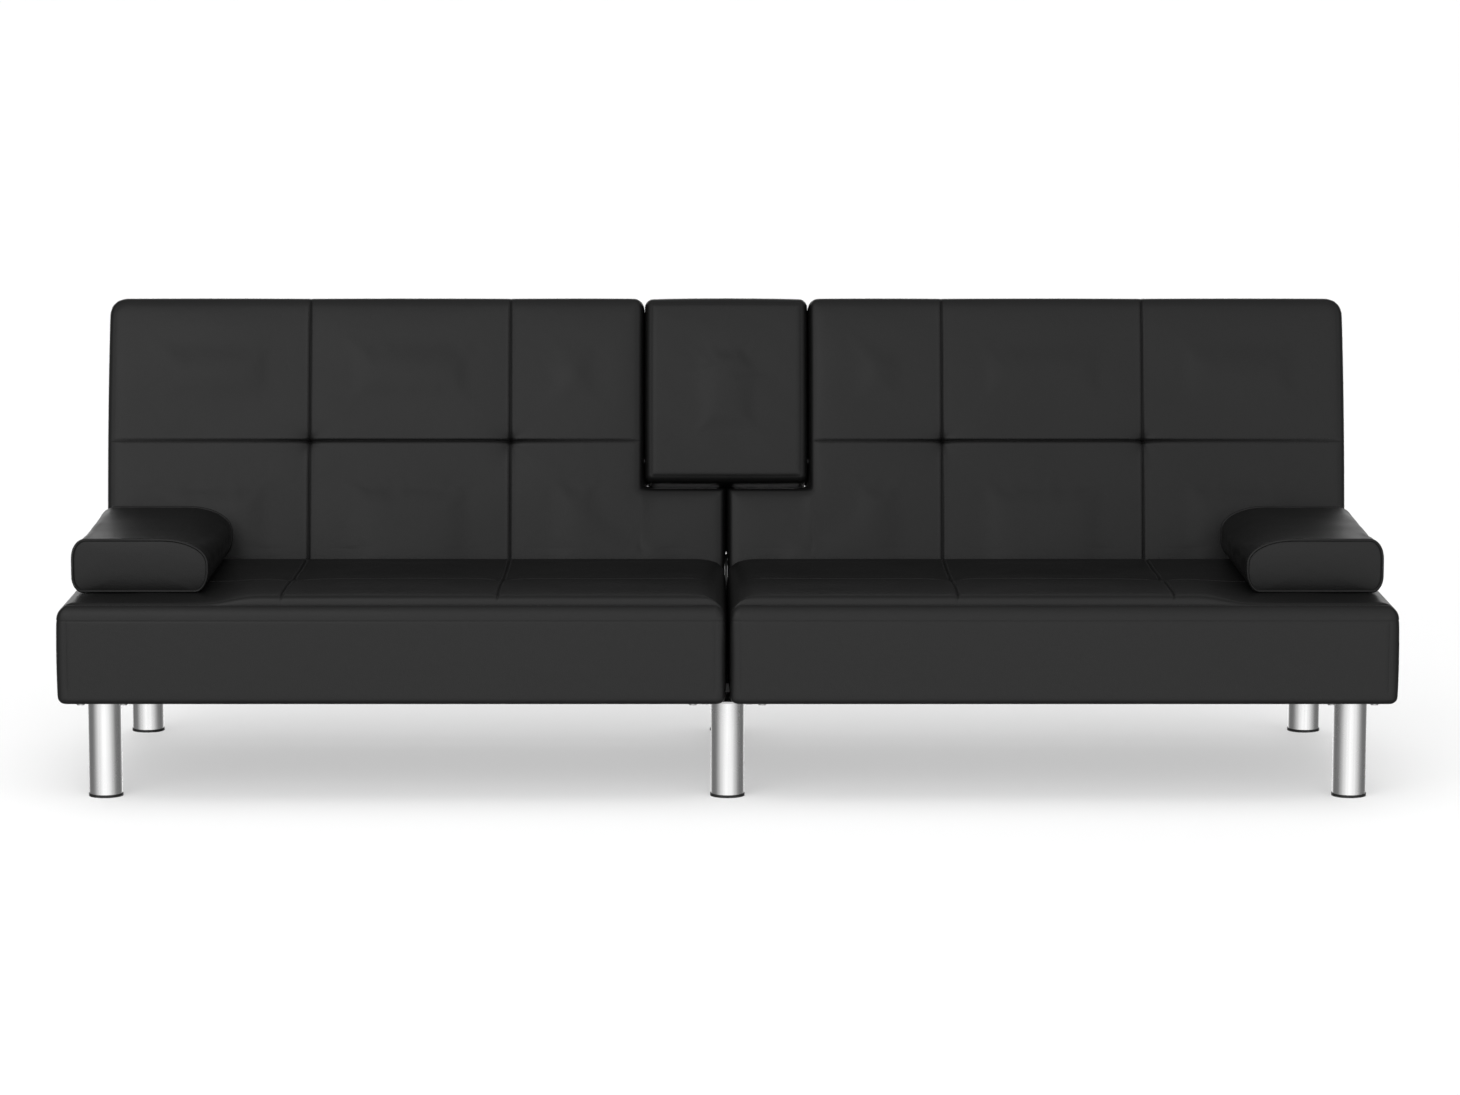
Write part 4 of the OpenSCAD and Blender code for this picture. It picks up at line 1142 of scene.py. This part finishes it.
def make_dust_cover(name, side):
    margin = LIP + 0.5 * MM
    us = grid_lines(SEAT_LOW[0] + margin, SEAT_HIGH[0] - margin, MM, MM, [], [], 22 * MM)
    vs = grid_lines(margin, SEAT_LENGTH - margin, MM, MM, [], [], 22 * MM)

    def surface(u, v):
        sag = 0.8 * MM * hump(u, us[0], us[-1], 0.5) * hump(v, vs[0], vs[-1], 0.5)
        return SEAT_LOW[2] + 1.6 * MM - sag + 0.3 * MM * waves(u, v, 43, 0.25)

    cloth_panel("seat_cloth_" + name, us, vs, lambda u, v: u < FAR, surface,
        lambda points: on_seat(points, side), "dust_cover_" + name, "base")


# ---------- stage, light and camera ----------

FLOOR_HALF = 200


def make_floor():
    mesh = bpy.data.meshes.new("floor")
    square = [(-1, -1), (1, -1), (1, 1), (-1, 1)]
    mesh.from_pydata([(x * FLOOR_HALF, y * FLOOR_HALF, 0) for x, y in square], [], [(0, 1, 2, 3)])
    floor = bpy.data.objects.new("floor", mesh)
    bpy.context.scene.collection.objects.link(floor)
    paint = Paint("pale_floor")
    tone = paint.noise(0.8, 3)
    paint.colour(paint.ramp(tone, grey(0.86), grey(0.87)))
    paint.rough(paint.spread(tone, 0.8, 0.85))
    paint.fixed(Specular_IOR_Level=0.1)
    mesh.materials.append(paint.material)
    floor.visible_glossy = False
    return floor


def make_world():
    """Soft studio surroundings: bright in front and behind, dimmer above and at the sides."""
    world = bpy.data.worlds.new("studio")
    bpy.context.scene.world = world
    world.use_nodes = True
    nodes, links = world.node_tree.nodes, world.node_tree.links
    coords = nodes.new("ShaderNodeTexCoord")
    parts = nodes.new("ShaderNodeSeparateXYZ")
    links.new(coords.outputs["Generated"], parts.inputs["Vector"])

    def math_node(kind, a, b):
        node = nodes.new("ShaderNodeMath")
        node.operation = kind
        for socket, value in zip(node.inputs, (a, b)):
            if isinstance(value, (int, float)):
                socket.default_value = value
            else:
                links.new(value, socket)
        return node.outputs["Value"]

    front = math_node("MAXIMUM", math_node("MULTIPLY", parts.outputs["Y"], -1.0), 0.0)
    front = math_node("POWER", front, 1.6)
    behind = math_node("POWER", math_node("MAXIMUM", parts.outputs["Y"], 0.0), 8.0)
    beside = math_node("MULTIPLY", parts.outputs["X"], parts.outputs["X"])
    above = math_node("POWER", math_node("MAXIMUM", parts.outputs["Z"], 0.0), 3.0)
    light = 0.08
    for part, strength in ((front, 1.1), (behind, 1.7), (above, 0.3), (beside, 0.1)):
        light = math_node("ADD", light, math_node("MULTIPLY", part, strength))
    nodes["Background"].inputs["Color"].default_value = (1, 1, 1, 1)
    links.new(light, nodes["Background"].inputs["Strength"])


def make_light(name, kind, energy, place, aim, **values):
    data = bpy.data.lights.new(name, kind)
    data.energy = energy
    for key, value in values.items():
        setattr(data, key, value)
    light = bpy.data.objects.new(name, data)
    light.location = place
    light.rotation_euler = (Vector(aim) - Vector(place)).to_track_quat("-Z", "Y").to_euler()
    bpy.context.scene.collection.objects.link(light)
    return light


def make_lights(floor):
    """One light keeps the floor evenly pale, and one falls softly on the sofa from the front."""
    only_floor = bpy.data.collections.new("only_floor")
    only_floor.objects.link(floor)
    floor_light = make_light("floor_light", "SUN", 2.35, (0, 0, 6), (0, 0.01, 0), angle=math.radians(60))
    floor_light.light_linking.receiver_collection = only_floor
    floor_light.light_linking.blocker_collection = only_floor
    make_light("front_key", "AREA", 25, (-2.2, -4.2, 2.6), (0, 0, 0.4),
        shape="RECTANGLE", size=3.0, size_y=2.0)


def make_camera():
    data = bpy.data.cameras.new("camera")
    data.lens = 121.4
    data.sensor_width = 36
    data.shift_x = 0.0163
    data.clip_end = 400
    camera = bpy.data.objects.new("camera", data)
    camera.location = (-0.032, cad_box[0].y - 7.237, 1.380)
    camera.rotation_euler = (math.radians(90 - 7.81), 0, 0)
    bpy.context.scene.collection.objects.link(camera)
    bpy.context.scene.camera = camera


make_camera()
make_world()
make_lights(make_floor())
paint_cad_nodes()
for name, side in SIDES.items():
    make_seat(name, side)
    make_back(name, side)
    make_bolster(name, side)
    make_back_panel(name, side)
    make_dust_cover(name, side)
make_console()
simulate()
for name, side in SIDES.items():
    sew_back(name, side)
    sew_seat(name, side)
bpy.context.scene.view_settings.view_transform = "Standard"
